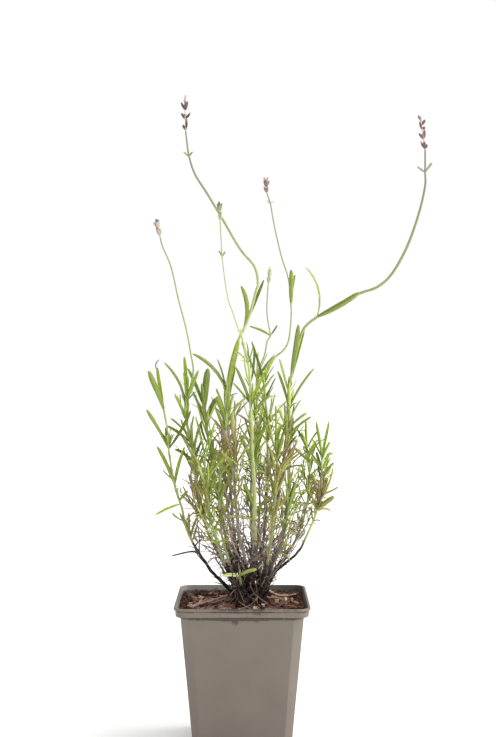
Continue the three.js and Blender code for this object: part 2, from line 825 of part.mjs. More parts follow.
function growPlan() {
  const plans = SHOOTS.map(planStem);
  addRods("wood", bareTwigStations().map((s) => s.point), BARE_TWIG.radius + MARGIN, false);
  plans.forEach(placeSetLeaves);
  plans.forEach((plan, index) => placePairs(plan, randomStream(PLANT_SEED + index)));
  plans.forEach((plan, index) => {
    const draw = randomStream(PLANT_SEED + 100 + index);
    placeTwigs(plan, draw);
    placeDryLeaves(plan, plan.woodStations, 1.5, DRY_LEAF.perStem, draw);
    plan.twigs.forEach((twig) => placeDryLeaves(plan, twig, 0, DRY_LEAF.perTwig, draw));
  });
  return plans;
}

// Green stem with its leaves
function leafyStem(plan) {
  return fuse([rod(plan.stemStations, STEM.sides, plan.roll), ...plan.green.map((leaf) => blade(leaf))]);
}

function woodOf(plan) {
  const end = plan.woodStations.at(-1);
  const top = { ...end, point: end.point.clone().addScaledVector(end.along, -GAP) };
  return rod([...plan.woodStations.slice(0, -1), top], WOOD.sides);
}

function bareTwigStations() {
  const { points, radius } = BARE_TWIG;
  return stationsOn(route(points), 0, points.length - 1, (share) => radius * (1.3 - 0.4 * share));
}

// Stubs of old wood that lean out of the crown, all round it
function stubs() {
  const draw = randomStream(PLANT_SEED + 200);
  return Array.from({ length: CROWN.stubs }, (_, k) => {
    const azimuth = (360 * k) / CROWN.stubs + spread(draw, 14);
    const reach = between(draw, [5, 9]);
    const x = CROWN.x + reach * Math.cos(radians(azimuth));
    const y = CROWN.y + reach * Math.sin(radians(azimuth));
    const seat = { base: new THREE.Vector3(x, y, 114), along: new THREE.Vector3(0, 0, 1) };
    const shape = { length: between(draw, CROWN.stubLength), curl: -0.5 };
    const stub = leafBySplay(seat, azimuth, between(draw, CROWN.stubSplay), shape);
    const stations = [0, 1].map((share) => ({
      point: leafPoint(stub, share),
      along: leafAlong(stub, share),
      radius: mix(1.9, 0.8, share),
    }));
    return rod(stations, 4);
  });
}

function crown() {
  const { bottom, radius, shape } = CROWN;
  const profile = [[0, bottom], [radius, bottom], ...shape, [0, shape.at(-1)[1]]];
  const turned = new THREE.LatheGeometry(profile.map(([r, z]) => new THREE.Vector2(r, z)), CROWN.sides);
  turned.rotateX(Math.PI / 2);
  turned.translate(CROWN.x, CROWN.y, 0);
  return toSolid(turned);
}

// Brown wood of every shoot with its twigs and dry leaves, and the crown in the soil
function woodyBase(plans) {
  return fuse([
    crown(),
    ...stubs(),
    ...plans.map(woodOf),
    rod(bareTwigStations(), 3),
    ...plans.flatMap((plan) => plan.twigs.map((twig) => rod(twig, 3))),
    ...plans.flatMap((plan) => plan.dry.map((leaf) => blade(leaf, DRY_BLADE))),
  ]);
}

// Flower head: calyces up a thin rachis
function calyxOf(seat, azimuth, splay, length) {
  const { base, dir, out } = leafBySplay(seat, azimuth, splay, {});
  const foot = base.clone().addScaledVector(out, CALYX.seat);
  const stations = CALYX.shares.map((share, k) => ({
    point: foot.clone().addScaledVector(dir, share * length),
    along: dir,
    radius: CALYX.radii[k],
  }));
  return rod(stations, CALYX.sides);
}

function flowerHead(plan) {
  const { tip, calyces } = plan.head;
  const end = plan.stemStations.at(-1);
  const along = vector(tip).sub(end.point).normalize();
  const start = end.point.clone().addScaledVector(end.along, GAP);
  const highest = Math.max(...calyces.map(([height]) => height));
  const core = [
    { point: start, along: end.along, radius: CALYX.rachis },
    { point: start.clone().addScaledVector(along, highest + 1.4), along, radius: CALYX.rachis },
  ];
  const around = calyces.map(([height, azimuth, splay, length]) => {
    const seat = { base: start.clone().addScaledVector(along, height + 0.6), along };
    return calyxOf(seat, azimuth, splay, length);
  });
  return fuse([rod(core, 4), ...around]);
}

// Pot

// A square with its corners cut or rounded
function squareRing(width, corner, bulge, steps, z) {
  const middle = width / 2 - corner;
  const ring = [];
  for (let quarter = 0; quarter < 4; quarter++) {
    for (let step = 0; step <= steps; step++) {
      const share = step / steps;
      const angle = (share * Math.PI) / 2;
      const cut = new THREE.Vector2(middle + corner * (1 - share), middle + corner * share);
      const round = new THREE.Vector2(Math.cos(angle), Math.sin(angle));
      round.multiplyScalar(corner).addScalar(middle);
      const point = cut.lerp(round, bulge).rotateAround(new THREE.Vector2(), (quarter * Math.PI) / 2);
      ring.push(new THREE.Vector3(point.x, point.y, z));
    }
  }
  return ring;
}

function wallRing(z, inset) {
  const width = mix(POT.footWidth, POT.topWidth, z / POT.height) - 2 * inset;
  const corner = mix(POT.footChamfer, POT.topChamfer, z / POT.height);
  return squareRing(width, corner, POT.bevelBulge, 2, z);
}

const collarRing = ([z, width, corner]) => squareRing(width, corner, 1, COLLAR.steps, z);

function upright(radius, low, high, x, y) {
  const geometry = new THREE.CylinderGeometry(radius, radius, high - low, BASE.sides);
  geometry.rotateX(Math.PI / 2).translate(x, y, (low + high) / 2);
  return toSolid(geometry);
}

function drainHoles() {
  const holes = [];
  for (let quarter = 0; quarter < 4; quarter++) {
    const turn = (quarter * Math.PI) / 2;
    const corner = new THREE.Vector2(BASE.cornerHole.reach, BASE.cornerHole.reach);
    const side = new THREE.Vector2(BASE.sideHole.reach, 0);
    corner.rotateAround(new THREE.Vector2(), turn);
    side.rotateAround(new THREE.Vector2(), turn);
    holes.push(upright(BASE.cornerHole.radius, -1, POT.floor + 1, corner.x, corner.y));
    holes.push(upright(BASE.sideHole.radius, -1, POT.floor + 1, side.x, side.y));
  }
  return holes;
}

// The floor is raised between the foot band and the pad in the middle, with a way out
// for water under each side
function underside() {
  const width = POT.footWidth - 2 * BASE.footBand;
  const hollow = [-1, BASE.recess].map((z) => squareRing(width, POT.footChamfer, 0, 1, z));
  const notches = [0, Math.PI / 2].map((turn) => {
    const bar = new THREE.BoxGeometry(POT.footWidth + 2, BASE.notchWidth, 1 + BASE.recess);
    return toSolid(bar.rotateZ(turn).translate(0, 0, (BASE.recess - 1) / 2));
  });
  const pad = upright(BASE.padRadius, -2, BASE.recess + 1, 0, 0);
  return wasm.Manifold.union([toSolid(loft(hollow)), ...notches]).subtract(pad);
}

function pot() {
  const wall = toSolid(loft([wallRing(0, 0), wallRing(COLLAR.outside[0][0] + 1, 0)]));
  const collar = toSolid(loft(COLLAR.outside.map(collarRing)));
  const [ledge] = COLLAR.inside[0];
  const inside = toSolid(loft([wallRing(POT.floor, POT.wall), wallRing(ledge + 0.2, POT.wall)]));
  const mouth = toSolid(loft(COLLAR.inside.map(collarRing)));
  return wasm.Manifold.union([wall, collar])
    .subtract(wasm.Manifold.union([inside, mouth]))
    .subtract(underside())
    .subtract(wasm.Manifold.union(drainHoles()));
}

// Soil, with bark chips bedded in it

function soilHeight(x, y) {
  const wave = Math.sin(0.21 * x + 1.3) * Math.cos(0.17 * y) + Math.sin(0.13 * x - 0.24 * y);
  return SOIL.top + (SOIL.ripple * wave) / 2;
}

function soilBody() {
  const low = POT.floor + SOIL.gap;
  const inset = POT.wall + SOIL.gap;
  const edge = wallRing(SOIL.top, inset);
  const top = SOIL.rings.map((share) =>
    edge.map((p) => {
      const [x, y] = [mix(CROWN.x, p.x, share), mix(CROWN.y, p.y, share)];
      return new THREE.Vector3(x, y, soilHeight(x, y));
    }),
  );
  return toSolid(loft([wallRing(low, inset), ...top]));
}

function barkChips() {
  const draw = randomStream(SOIL.seed);
  const chips = [];
  while (chips.length < SOIL.chips) {
    const [x, y] = [spread(draw, SOIL.chipReach), spread(draw, SOIL.chipReach)];
    const size = [SOIL.chipLength, SOIL.chipWidth, SOIL.chipThick].map((range) => between(draw, range));
    const tilt = new THREE.Euler(spread(draw, 0.35), spread(draw, 0.35), 2 * Math.PI * draw());
    if (Math.hypot(x - CROWN.x, y - CROWN.y) < CROWN.radius + 8) continue;
    const chip = new THREE.BoxGeometry(...size);
    chip.applyMatrix4(new THREE.Matrix4().makeRotationFromEuler(tilt));
    chip.translate(x, y, soilHeight(x, y) + 0.25);
    chips.push(toSolid(chip));
  }
  return chips;
}

function soil() {
  const hole = upright(CROWN.radius + SOIL.gap, CROWN.bottom - SOIL.gap, POT.height, CROWN.x, CROWN.y);
  return fuse([soilBody(), ...barkChips()]).subtract(hole);
}

// The assembly

function material(color, roughness) {
  return new THREE.MeshStandardMaterial({ color, roughness, metalness: 0 });
}

const plastic = material("#8b8274", 0.55);
const bark = material("#5c4c42", 0.95);
const peat = material("#5a3527", 1);
const leafGreen = material("#7f9b4a", 0.75);
const calyxMauve = material("#6d5560", 0.8);

function named(name, solid, look) {
  const geometry = toGeometry(solid);
  const mesh = new THREE.Mesh(geometry, look);
  mesh.name = name;
  return mesh;
}

const plans = growPlan();
const lavender = new THREE.Group();
lavender.add(named("pot", pot(), plastic));
lavender.add(named("soil", soil(), peat));
lavender.add(named("woody_base", woodyBase(plans), bark));
plans.forEach((plan) => lavender.add(named(plan.body, leafyStem(plan), leafGreen)));
plans
  .filter((plan) => plan.head)
  .forEach((plan, k) => lavender.add(named(`flower_head_${k + 1}`, flowerHead(plan), calyxMauve)));

export default lavender;
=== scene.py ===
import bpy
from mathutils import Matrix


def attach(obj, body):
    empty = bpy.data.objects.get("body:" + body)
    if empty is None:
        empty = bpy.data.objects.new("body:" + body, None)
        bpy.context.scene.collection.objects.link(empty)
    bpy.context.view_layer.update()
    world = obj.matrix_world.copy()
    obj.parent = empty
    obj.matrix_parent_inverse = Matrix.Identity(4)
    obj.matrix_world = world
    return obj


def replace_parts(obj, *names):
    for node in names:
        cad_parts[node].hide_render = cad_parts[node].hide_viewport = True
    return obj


bl_info = {
    "name": "Potted Lavender",
    "version": (1, 0, 0),
    "blender": (4, 5, 0),
    "location": "3D View > Sidebar > Lavender",
    "description": "Dresses the packed potted lavender: pot, soil, wood, leaves and flower heads",
    "category": "Object",
}

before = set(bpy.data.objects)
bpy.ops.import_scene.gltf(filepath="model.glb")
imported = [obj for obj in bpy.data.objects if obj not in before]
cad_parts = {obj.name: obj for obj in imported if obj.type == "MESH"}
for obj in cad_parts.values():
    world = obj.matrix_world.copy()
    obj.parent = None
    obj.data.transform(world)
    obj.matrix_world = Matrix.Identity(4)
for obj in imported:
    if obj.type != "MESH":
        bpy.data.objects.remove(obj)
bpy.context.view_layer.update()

import math
from dataclasses import dataclass
from functools import cache, partial

import bmesh
import bpy
import numpy as np
from bpy.props import FloatProperty, FloatVectorProperty, IntProperty, PointerProperty
from mathutils import Vector, noise

# The plant is drawn up in millimetres and comes out in metres
MM = 0.001

# Habit of the plant: where its stems run, and how it sets its leaves
CROWN = dict(x=5, y=0, radius=12, stubs=8, stub_length=(11, 24), stub_splay=(22, 58))
WOOD = dict(start_height=113, start_spread=0.6, base=2.2, tip=1.35)
TWIG = dict(per_stem=2, zone=(0.35, 0.92), length=(22, 50), splay=(16, 44), base=0.85, tip=0.5)
DRY_LEAF = dict(per_stem=1, per_twig=2, length=(9, 19), splay=(18, 58))
STEM = dict(base=1.35, tip=1.1, stalk=0.85, taper=1.3, bend=12)
LEAF = dict(width=(1.7, 3), length=(9, 30), splay=(56, 20), usual_turn=55)
CALYX = dict(seat=0.3, radius=1.15)

# Until a leaf is clear it is turned round its stem and leaned from it by these degrees in
# order. One that is listed has its tip moved back or forward by these millimetres.
TURNS = (0, 12, -12, 24, -24, 38, -38, 54, -54, 72, -72)
LEANS = (0, 3, -5, -8, 6, -3, 8, -8, 4, -10, 9)
SHIFTS = (0, 3, -3, 6, -6, 9, -9, 13, -13, 17, -17)

# Clear space round a leaf, the lowest that one hangs, and the share of the space that it keeps
# from leaves of its own shoot
MARGIN = 0.22
LOWEST = 115.6
SAME_BODY_SHARE = 0.85

# Seeds: of what the solids have too, and of what they don't. Shoots and heads add their number.
PLANT_SEED = 2024
SEEDS = dict(
    wood=17, fibres=23, dry_leaves=31, chips=41, head=60, upright=300, sprigs=400, first_tuft=499,
    tufts=500, browned=611, withered=700, shoot=900,
)

# Shoots. Wood and stem are the points of the route. A listed leaf is (height that it
# leaves the stem at, its tip, bow, width, turn). Pairs are leaves by rule: (number of pairs,
# lowest height, highest height, length at the lowest, length at the highest). A calyx is
# (height above the foot of the head, angle round it, splay, length).
SHOOTS = (
  dict(
    name="far_left",
    wood=((-7, 2, 122), (-17, 0, 132), (-25, -3, 141), (-35, -7, 156), (-41, -9, 166)),
    stem=(
      (-47, -10, 180), (-50, -11, 195), (-54, -12, 207), (-56, -12, 214), (-59, -13, 231),
      (-61, -13, 244), (-61, -14, 254), (-63, -15, 267), (-65, -15, 278),
    ),
    leaves=(
      (199, (-72, -20, 191), 0.9, 2.8), (201, (-45, -14, 210), 0.3, 2.6),
      (214, (-70, -20, 247), 0.3, 3.4), (214, (-48, -8, 246), 0.35, 3.2),
      (244, (-79, -16, 277), 0.15, 3.4), (244, (-43, -6, 276), -0.3, 2.8),
      (276.5, (-77, -20, 309), 0.1, 4.4, 75), (277, (-71, -10, 312), 0.25, 2),
    ),
    pairs=(5, 184, 252, 12, 13),
  ),
  dict(
    name="left_flowering",
    wood=((-4, -4, 125), (-15, -6, 150), (-23, -6, 163)),
    stem=(
      (-29, -6, 175), (-33, -5, 189), (-36, -4, 205), (-39, -4, 226), (-40, -4, 240),
      (-44, -4, 251), (-46, -3, 265), (-48, -3, 276), (-47, -3, 285), (-44, -3, 294),
      (-42, -3, 302), (-41, -3, 311), (-43, -4, 323), (-45, -5, 335), (-48, -6, 349),
      (-53, -8, 368), (-59, -11, 395), (-66, -13, 412), (-68, -14, 420),
    ),
    leaves=(
      (279, (-65, -8, 316), 0.55, 2.2, 30), (283, (-49, 4, 321), 0.2, 2.8),
      (268, (-56, -10, 290), 0.2, 2.6), (235, (-34, -2, 252), 0.2, 2.4),
      (240, (-52, -9, 256), 0.3, 2.4),
    ),
    pairs=(8, 170, 282, 13, 30),
    head=dict(
      tip=(-71, -15, 434),
      calyces=(
        (0, 180, 20, 5.6), (0, 0, 18, 5.6),
        (5.4, 180, 20, 6.6), (5.4, 0, 20, 6.6), (5.6, 270, 22, 6), (9.6, 90, 6, 4.4),
      ),
    ),
  ),
  dict(
    name="broad_leaved",
    wood=((-2, 6, 123), (-8, 8, 145), (-14, 10, 166)),
    stem=((-18, 11, 187), (-22, 11, 208), (-27, 10, 238), (-30, 9, 259), (-32, 8, 277)),
    leaves=(
      (276.5, (-29, 6, 311), 0.15, 6, 80), (276, (-47, 5, 311), 0.2, 2.6),
      (267, (-22, 15, 286), 0.1, 4.6, 75), (259, (-42, 2, 292), 0.1, 2.6),
    ),
    pairs=(8, 176, 272, 14, 33),
  ),
  dict(
    name="tall_flowering",
    wood=((1, -8, 125), (-4, -12, 152), (-7, -14, 178)),
    stem=(
      (-9, -15, 202), (-11, -15, 223), (-12, -15, 240), (-13, -15, 262), (-13, -15, 290),
      (-9, -13, 317), (-3, -12, 335), (0, -12, 341), (6, -11, 355), (11, -10, 374),
      (13, -9, 382), (10, -7, 396), (-2, -3, 411), (-17, 2, 437), (-30, 6, 459),
      (-40, 8, 475), (-45, 9, 490), (-47, 10, 503), (-48, 10, 512),
    ),
    leaves=(
      (214, (-27, -22, 213), 0.5, 2.6, 40), (290, (-41, -20, 323), 0.5, 3, 50),
      (289, (-3, -20, 335), 0.1, 5.2, 75), (270, (-6, -8, 313), 0.35, 3),
      (266, (-21, -22, 288), 0.2, 4.6, 75), (341, (-1, -17, 379), 0.5, 4, 75),
      (341, (18, -4, 385), 0.1, 2.8), (490, (-49.5, 7, 494), 0.1, 1.7),
      (490, (-42, 12, 494.5), 0.1, 1.7),
    ),
    pairs=(8, 186, 286, 15, 32),
    head=dict(
      tip=(-49, 12, 543),
      calyces=(
        (0, 180, 28, 5), (0.2, 330, 12, 8), (0.2, 80, 26, 6),
        (9.4, 180, 34, 6), (9.8, 0, 46, 5.6), (9.6, 90, 28, 5),
        (17.4, 180, 26, 7), (17.6, 0, 24, 7.2), (17.2, 270, 24, 4.6), (24.4, 0, 3, 5.8),
      ),
    ),
  ),
  dict(
    name="centre_flowering",
    wood=((7, -10, 126), (10, -16, 149), (10, -18, 166)),
    stem=(
      (10, -19, 181), (10, -19, 198), (10, -19, 214), (9, -19, 229), (8, -18, 245),
      (8, -17, 260), (7, -17, 281), (6, -18, 308), (3, -20, 324), (0, -21, 336),
      (-3, -22, 343), (-7, -22, 355), (-12, -23, 370), (-16, -24, 398), (-17, -25, 412),
      (-18, -26, 431),
    ),
    girth=1.5,
    leaves=(
      (186, (-15, -32, 190), 0.4, 2.8, 40), (188, (23, -14, 206), 0.5, 2.8),
      (193, (1, -28, 217), 0.4, 4.6, 80), (229, (-2, -25, 256), 0.3, 4, 80),
      (229, (18, -12, 262), 0.3, 3.4), (281, (-5, -24, 312), 0.2, 2.6), (281, (20, -12, 311), 0.25, 3),
      (402, (-19, -27, 407), 0.1, 1.6), (402, (-14, -22, 407), 0.1, 1.6),
    ),
    pairs=(5, 248, 314, 24, 32),
    head=dict(
      tip=(-19, -26, 447),
      calyces=(
        (0, 180, 18, 7), (0, 0, 18, 7),
        (6.2, 180, 18, 6.2), (6.2, 0, 18, 6.4), (6.4, 270, 22, 6), (10.8, 90, 6, 4.6),
      ),
    ),
  ),
  dict(
    name="small_flowering",
    wood=((6, 8, 122), (8, 14, 148), (8, 18, 173)),
    stem=(
      (7, 20, 199), (8, 20, 220), (9, 20, 235), (10, 19, 250), (11, 18, 267), (12, 17, 284),
      (12, 16, 301), (15, 16, 313), (19, 16, 323), (21, 16, 334), (24, 16, 339),
      (23, 16, 344), (21, 17, 357), (21, 18, 369), (22, 19, 383),
    ),
    leaves=(
      (339, (6, 12, 347), 0.45, 2.4), (339, (30, 20, 348), -0.3, 1.8), (301, (-1, 14, 333), 0.2, 2.6),
      (301, (27, 22, 322), 0.3, 2.6),
    ),
    pairs=(8, 182, 300, 14, 30),
    head=dict(
      tip=(24, 20, 399),
      calyces=(
        (0, 180, 18, 5.6), (0, 0, 18, 5.6), (5, 180, 18, 6), (5, 0, 18, 6), (9.6, 90, 4, 5),
      ),
    ),
  ),
  dict(
    name="middle_flowering",
    wood=((11, 2, 123), (15, 2, 146), (18, 2, 171)),
    stem=(
      (20, 2, 196), (21, 2, 217), (21, 2, 232), (21, 1, 247), (21, 1, 268), (19, 1, 285),
      (18, 1, 297), (19, 1, 308), (22, 2, 315), (28, 3, 321), (35, 4, 327), (39, 5, 335),
      (41, 6, 352), (41, 8, 365), (39, 12, 387), (33, 16, 407), (27, 20, 434),
      (24, 23, 452), (21, 24, 461),
    ),
    leaves=(
      (365, (41, 3, 394), 0.15, 4, 80), (365, (45, 18, 391), 0.25, 2.8), (297, (8, 6, 334), 0.2, 2.4),
      (452, (21.5, 22, 455), 0.1, 1.6), (452, (27, 25, 455), 0.1, 1.6),
    ),
    pairs=(8, 180, 300, 15, 29),
    head=dict(
      tip=(20, 25, 476),
      calyces=(
        (0, 180, 18, 5), (0.2, 0, 16, 4.8),
        (4.8, 180, 22, 6), (4.8, 0, 22, 6), (5, 270, 20, 6), (9.6, 180, 22, 4), (9.6, 0, 24, 4),
      ),
    ),
  ),
  dict(
    name="right_flowering",
    wood=((14, -4, 125), (20, -6, 147), (25, -8, 173)),
    stem=(
      (29, -10, 198), (32, -11, 219), (34, -12, 235), (37, -12, 255), (39, -12, 273),
      (38, -12, 287), (40, -12, 301), (43, -12, 318), (46, -12, 330), (51, -12, 344),
      (61, -13, 353), (79, -15, 364), (97, -17, 373), (111, -19, 378), (123, -21, 389),
      (135, -24, 411), (144, -26, 437), (149, -27, 459), (149, -28, 471), (149, -28, 489),
    ),
    leaves=(
      (301, (46, -20, 347), 0.15, 4.4, 75), (301, (52, -5, 345), 0.15, 3.6),
      (353, (96, -25, 373), -0.25, 5, 80), (353, (52, -10, 395), 1.2, 2.4),
      (277, (59, -16, 311), -0.4, 2), (277, (29, -8, 309), 0.2, 3), (255, (57, -15, 271), 0.2, 2.6),
      (471, (142, -32, 475), 0.1, 2.1), (471, (155, -25, 479), 0.1, 2.1),
    ),
    pairs=(8, 182, 290, 14, 28),
    head=dict(
      tip=(145, -28, 517),
      calyces=(
        (0, 180, 22, 6.2), (0.4, 0, 36, 3.4), (0.2, 270, 15, 5.4),
        (8.2, 180, 30, 5.4), (8.4, 0, 22, 6.8), (8, 90, 15, 5),
        (16, 180, 16, 6), (16.4, 0, 58, 2.6), (19.6, 0, 38, 5), (23.2, 180, 14, 4.8),
      ),
    ),
  ),
  dict(
    name="far_right",
    wood=((16, -2, 124), (23, -4, 138), (34, -6, 147), (46, -8, 158), (51, -9, 167)),
    stem=(
      (57, -10, 180), (62, -10, 193), (64, -10, 206), (66, -10, 219), (66, -10, 228),
      (66, -10, 238),
    ),
    leaves=(
      (237, (61, -13, 267), 0.1, 2.6), (237, (72, -8, 267), 0.05, 2.8), (236, (58, -6, 252), 0.1, 2.2),
      (228, (57, -14, 238), 0.1, 2.2), (219, (76, -14, 233), 0.8, 2.2), (206, (80, -7, 213), -0.2, 2.2),
      (193, (76, -13, 205), 0.2, 4.4, 75), (196, (52, -14, 212), 0.2, 2.8),
    ),
    pairs=(7, 184, 234, 16, 20),
  ),
  dict(
    name="inner_right",
    wood=((18, 10, 122), (32, 16, 144), (43, 18, 160)),
    stem=(
      (49, 19, 173), (53, 19, 186), (56, 19, 201), (57, 18, 216), (57, 18, 231), (55, 18, 243),
    ),
    leaves=(
      (242, (54, 14, 268), 0.1, 2.4), (231, (43, 14, 245), 0.1, 2.8), (242, (66, 22, 259), 0.4, 2),
      (242, (47, 22, 259), 0.1, 2.2),
    ),
    pairs=(8, 176, 238, 15, 21),
  ),
  dict(
    name="low_right",
    wood=((16, -14, 128), (24, -20, 147)),
    stem=((31, -24, 163), (35, -26, 180), (37, -26, 196), (37, -26, 213)),
    leaves=(
      (184, (44, -28, 219), 0.15, 4.4, 75), (184, (28, -26, 214), 0.2, 4.4, 75),
    ),
    pairs=(5, 166, 211, 12, 20),
  ),
  dict(
    name="low_front",
    wood=((0, -13, 123), (-1, -20, 133)),
    stem=((-2, -23, 140), (-2, -25, 147)),
    leaves=(
      (140.5, (-17, -28, 143), 0.7, 3.4, 50), (141, (11.5, -29, 149), 0.4, 3.4, 50),
    ),
    pairs=(2, 140, 145, 9, 8),
  ),
  dict(
    name="low_left",
    wood=((-2, -14, 128), (-8, -20, 144)),
    stem=(
      (-12, -22, 157), (-16, -24, 171), (-18, -25, 187), (-19, -26, 204), (-18, -26, 220),
      (-17, -26, 235),
    ),
    pairs=(9, 150, 233, 11, 18),
  ),
  dict(
    name="front_left",
    wood=((-4, -12, 130), (-14, -27, 150)),
    stem=((-21, -36, 172), (-26, -43, 196), (-29, -47, 219), (-30, -48, 243)),
    pairs=(7, 158, 241, 12, 31),
  ),
  dict(
    name="front_middle",
    wood=((4, -12, 130), (3, -28, 152)),
    stem=((-2, -38, 175), (-5, -44, 200), (-6, -48, 224), (-5, -49, 250)),
    pairs=(6, 162, 248, 14, 30),
  ),
  dict(
    name="front_right",
    wood=((13, -10, 130), (20, -28, 152)),
    stem=((24, -37, 178), (26, -42, 202), (28, -45, 226), (27, -46, 254)),
    pairs=(6, 164, 252, 14, 29),
  ),
  dict(
    name="back_left",
    wood=((-3, 8, 126), (-17, 20, 146)),
    stem=((-28, 29, 165), (-35, 35, 185), (-40, 39, 208), (-43, 42, 238)),
    pairs=(6, 155, 236, 14, 30),
  ),
  dict(
    name="back_middle",
    wood=((2, 10, 128), (-6, 26, 150)),
    stem=((-11, 38, 174), (-14, 44, 198), (-16, 49, 225), (-17, 52, 257)),
    pairs=(6, 162, 255, 14, 32),
  ),
  dict(
    name="back_tall",
    wood=((8, 11, 128), (12, 28, 150)),
    stem=((14, 40, 172), (15, 47, 196), (14, 52, 222), (12, 56, 254)),
    pairs=(6, 162, 252, 14, 30),
  ),
  dict(
    name="back_right",
    wood=((13, 8, 127), (26, 23, 147)),
    stem=((34, 35, 166), (38, 42, 188), (41, 46, 212), (41, 48, 242)),
    pairs=(6, 156, 240, 14, 27),
  ),)

BARE_TWIG = dict(points=((-36, -7, 157), (-41, -8, 159), (-49, -10, 158), (-58, -12, 156)), radius=0.8)

# Habit of the fine growth: the usual one, and where a shoot has its own. First the number of
# leaves that stand upright.
UPRIGHT = dict(
    usual=18, far_left=0, far_right=4, inner_right=6, low_right=6, low_front=0, low_left=8,
    centre_flowering=8, small_flowering=9, middle_flowering=20, back_middle=24, front_right=24,
    front_middle=22, right_flowering=22,
)

# Width of the leaves by rule, as a share of the solids'
SLENDER = dict(
    usual=1, front_left=0.78, front_middle=0.78, front_right=0.78, centre_flowering=0.66,
    small_flowering=0.62, middle_flowering=0.66,
)

# Share of the axils with a tuft, and numbers of dry twigs and side sprigs
TUFTED = dict(
    usual=0.75, far_left=0.2, far_right=0.7, low_front=0, left_flowering=0.6, small_flowering=0.3,
    middle_flowering=0.4, centre_flowering=0.3,
)
DRY_TWIGS = dict(
    usual=3, low_front=0, low_left=1, far_left=1, centre_flowering=5, tall_flowering=4,
    middle_flowering=4,
)
SPRIGS = dict(usual=6, far_left=0, low_front=0, low_left=4, centre_flowering=4)

# Heights in metres that grey wood has reached where the place of the stem doesn't set them, and
# how thick stems are at four places up them, as shares of their solids
WOODY_TO = dict(
    centre_flowering=0.155, low_front=0.12, low_left=0.15, front_left=0.152, front_right=0.152,
    tall_flowering=0.243, broad_leaved=0.236, right_flowering=0.25,
)
STEM_SHAPES = dict(
    usual=(0.86, 0.82, 0.8, 0.78),
    tall_flowering=(0.85, 1.12, 1.15, 0.8), right_flowering=(0.85, 1.05, 1.3, 0.85),
    centre_flowering=(1.08, 1.02, 0.56, 0.6), left_flowering=(0.85, 0.8, 0.75, 0.68),
    middle_flowering=(0.85, 0.8, 0.72, 0.66), small_flowering=(0.85, 0.75, 0.7, 0.68),
)

# What marks single leaves that are listed, by shoot and order: tone from deep green to
# young green, how much more it is bowed than its solid, how much wider it is, and its age
MARKED = dict(
    far_left={
        0: (0.7, 0.35, 1, 0), 2: (0.25, 1, 1, 0.05), 4: (0.3, 1, 1, 0), 5: (0.1, 1, 1, 0.1),
        6: (0.15, 1, 1.1, 0.1), 7: (0.5, 0.5, 1.6, 0),
    },
    left_flowering={0: (0, 1.5, 1, 0.12), 1: (0.4, 1, 1.1, 0)},
    broad_leaved={0: (0, 1, 1, 0), 1: (0.35, 2, 1.2, 0), 2: (0.25, 1, 1, 0)},
    tall_flowering={
        1: (0.2, 2, 1, 0.05), 2: (0.6, 1, 1, 0), 4: (0.3, 1, 1, 0), 5: (0.15, 2, 1, 0.1), 6: (0.1, 1, 1, 0),
    },
    centre_flowering={
        0: (0.8, 1, 1.1, 0), 2: (0.1, 1, 1, 0), 3: (0, 1, 1, 0), 7: (0.2, 1, 0.9, 0.4),
        8: (0.3, 1, 0.9, 0.4),
    },
    middle_flowering={0: (0.2, 1, 1, 0), 1: (0.5, 1, 1, 0), 3: (0.95, 1, 1, 0.2), 4: (0.95, 1, 1, 0.2)},
    right_flowering={
        0: (0, 1, 1.1, 0), 1: (0.3, 1, 1, 0), 2: (0.1, 2.2, 1, 0), 3: (0.45, 1, 1, 0), 4: (0, -1, 1, 0.1),
    },
    low_right={0: (0.1, 1, 1, 0), 1: (0.5, 1, 1, 0)},
    low_front={0: (1, 1, 1, 0), 1: (0.9, 1, 1, 0)},
)

# Heights that the leaves have browned up to
BROWN_TO = dict(
    usual=222, front_middle=274, tall_flowering=274, broad_leaved=266, middle_flowering=268,
    right_flowering=264, back_middle=276, back_tall=276, front_right=252, back_right=258,
    left_flowering=244, low_left=200, low_right=205, centre_flowering=262,
)

# Tone of the stems that don't draw theirs
STEM_TONES = dict(centre_flowering=0.8, tall_flowering=0.7, far_left=0.5, far_right=0.75, low_front=0.3)

# Bundles of browned leaves: the shoot, the height that they leave it at, how brown, their tips
BROWNED = (
    (
        "far_left", 168, 0.45,
        (-52, -14, 192), (-47, -2, 185), (-44, -16, 192), (-38, -14, 181), (-36, -9, 192),
    ),
    (
        "left_flowering", 181, 0.62,
        (-40, -13, 225), (-45, -9, 222), (-42, -2, 231), (-47, -12, 204), (-50, -5, 214),
    ),
    ("left_flowering", 186, 0.4, (-36, -12, 218), (-41, -7, 212), (-35, 2, 222), (-27, -14, 214)),
    ("far_right", 190, 0.6, (66, -14, 229), (69, -9, 228), (71, -14, 221), (63, -16, 219), (67, -4, 215)),
    ("far_right", 197, 0.25, (75, -12, 230), (72, -8, 209), (58, -15, 222)),
    ("right_flowering", 236, 0.5, (46, -14, 262), (41, -16, 270), (44, -8, 254)),
)

# Spots where the leaves have gone rusty: x, z and reach
RUSTY = ((-41, 209, 17), (-47, 190, 12), (67, 205, 17), (22, 228, 10), (-10, 254, 14), (39, 243, 13))


def random_stream(seed):
    """The same plant grows every time."""
    state = seed

    def draw():
        nonlocal state
        state = (state * 1664525 + 1013904223) % 2**32
        return state / 2**32

    return draw


def generator(name, number=0):
    return np.random.default_rng(SEEDS[name] + number)


def habit(table, shoot):
    return table.get(shoot.name, table["usual"])


def mix(low, high, share):
    return low + (high - low) * share


def between(draw, limits):
    return mix(*limits, draw())


def spread(draw, reach):
    return (2 * draw() - 1) * reach


def smooth(share):
    """0 to 1 without a corner at either end."""
    share = np.clip(share, 0, 1)
    return share * share * (3 - 2 * share)


def unit(v):
    return v / np.linalg.norm(v, axis=-1, keepdims=True)


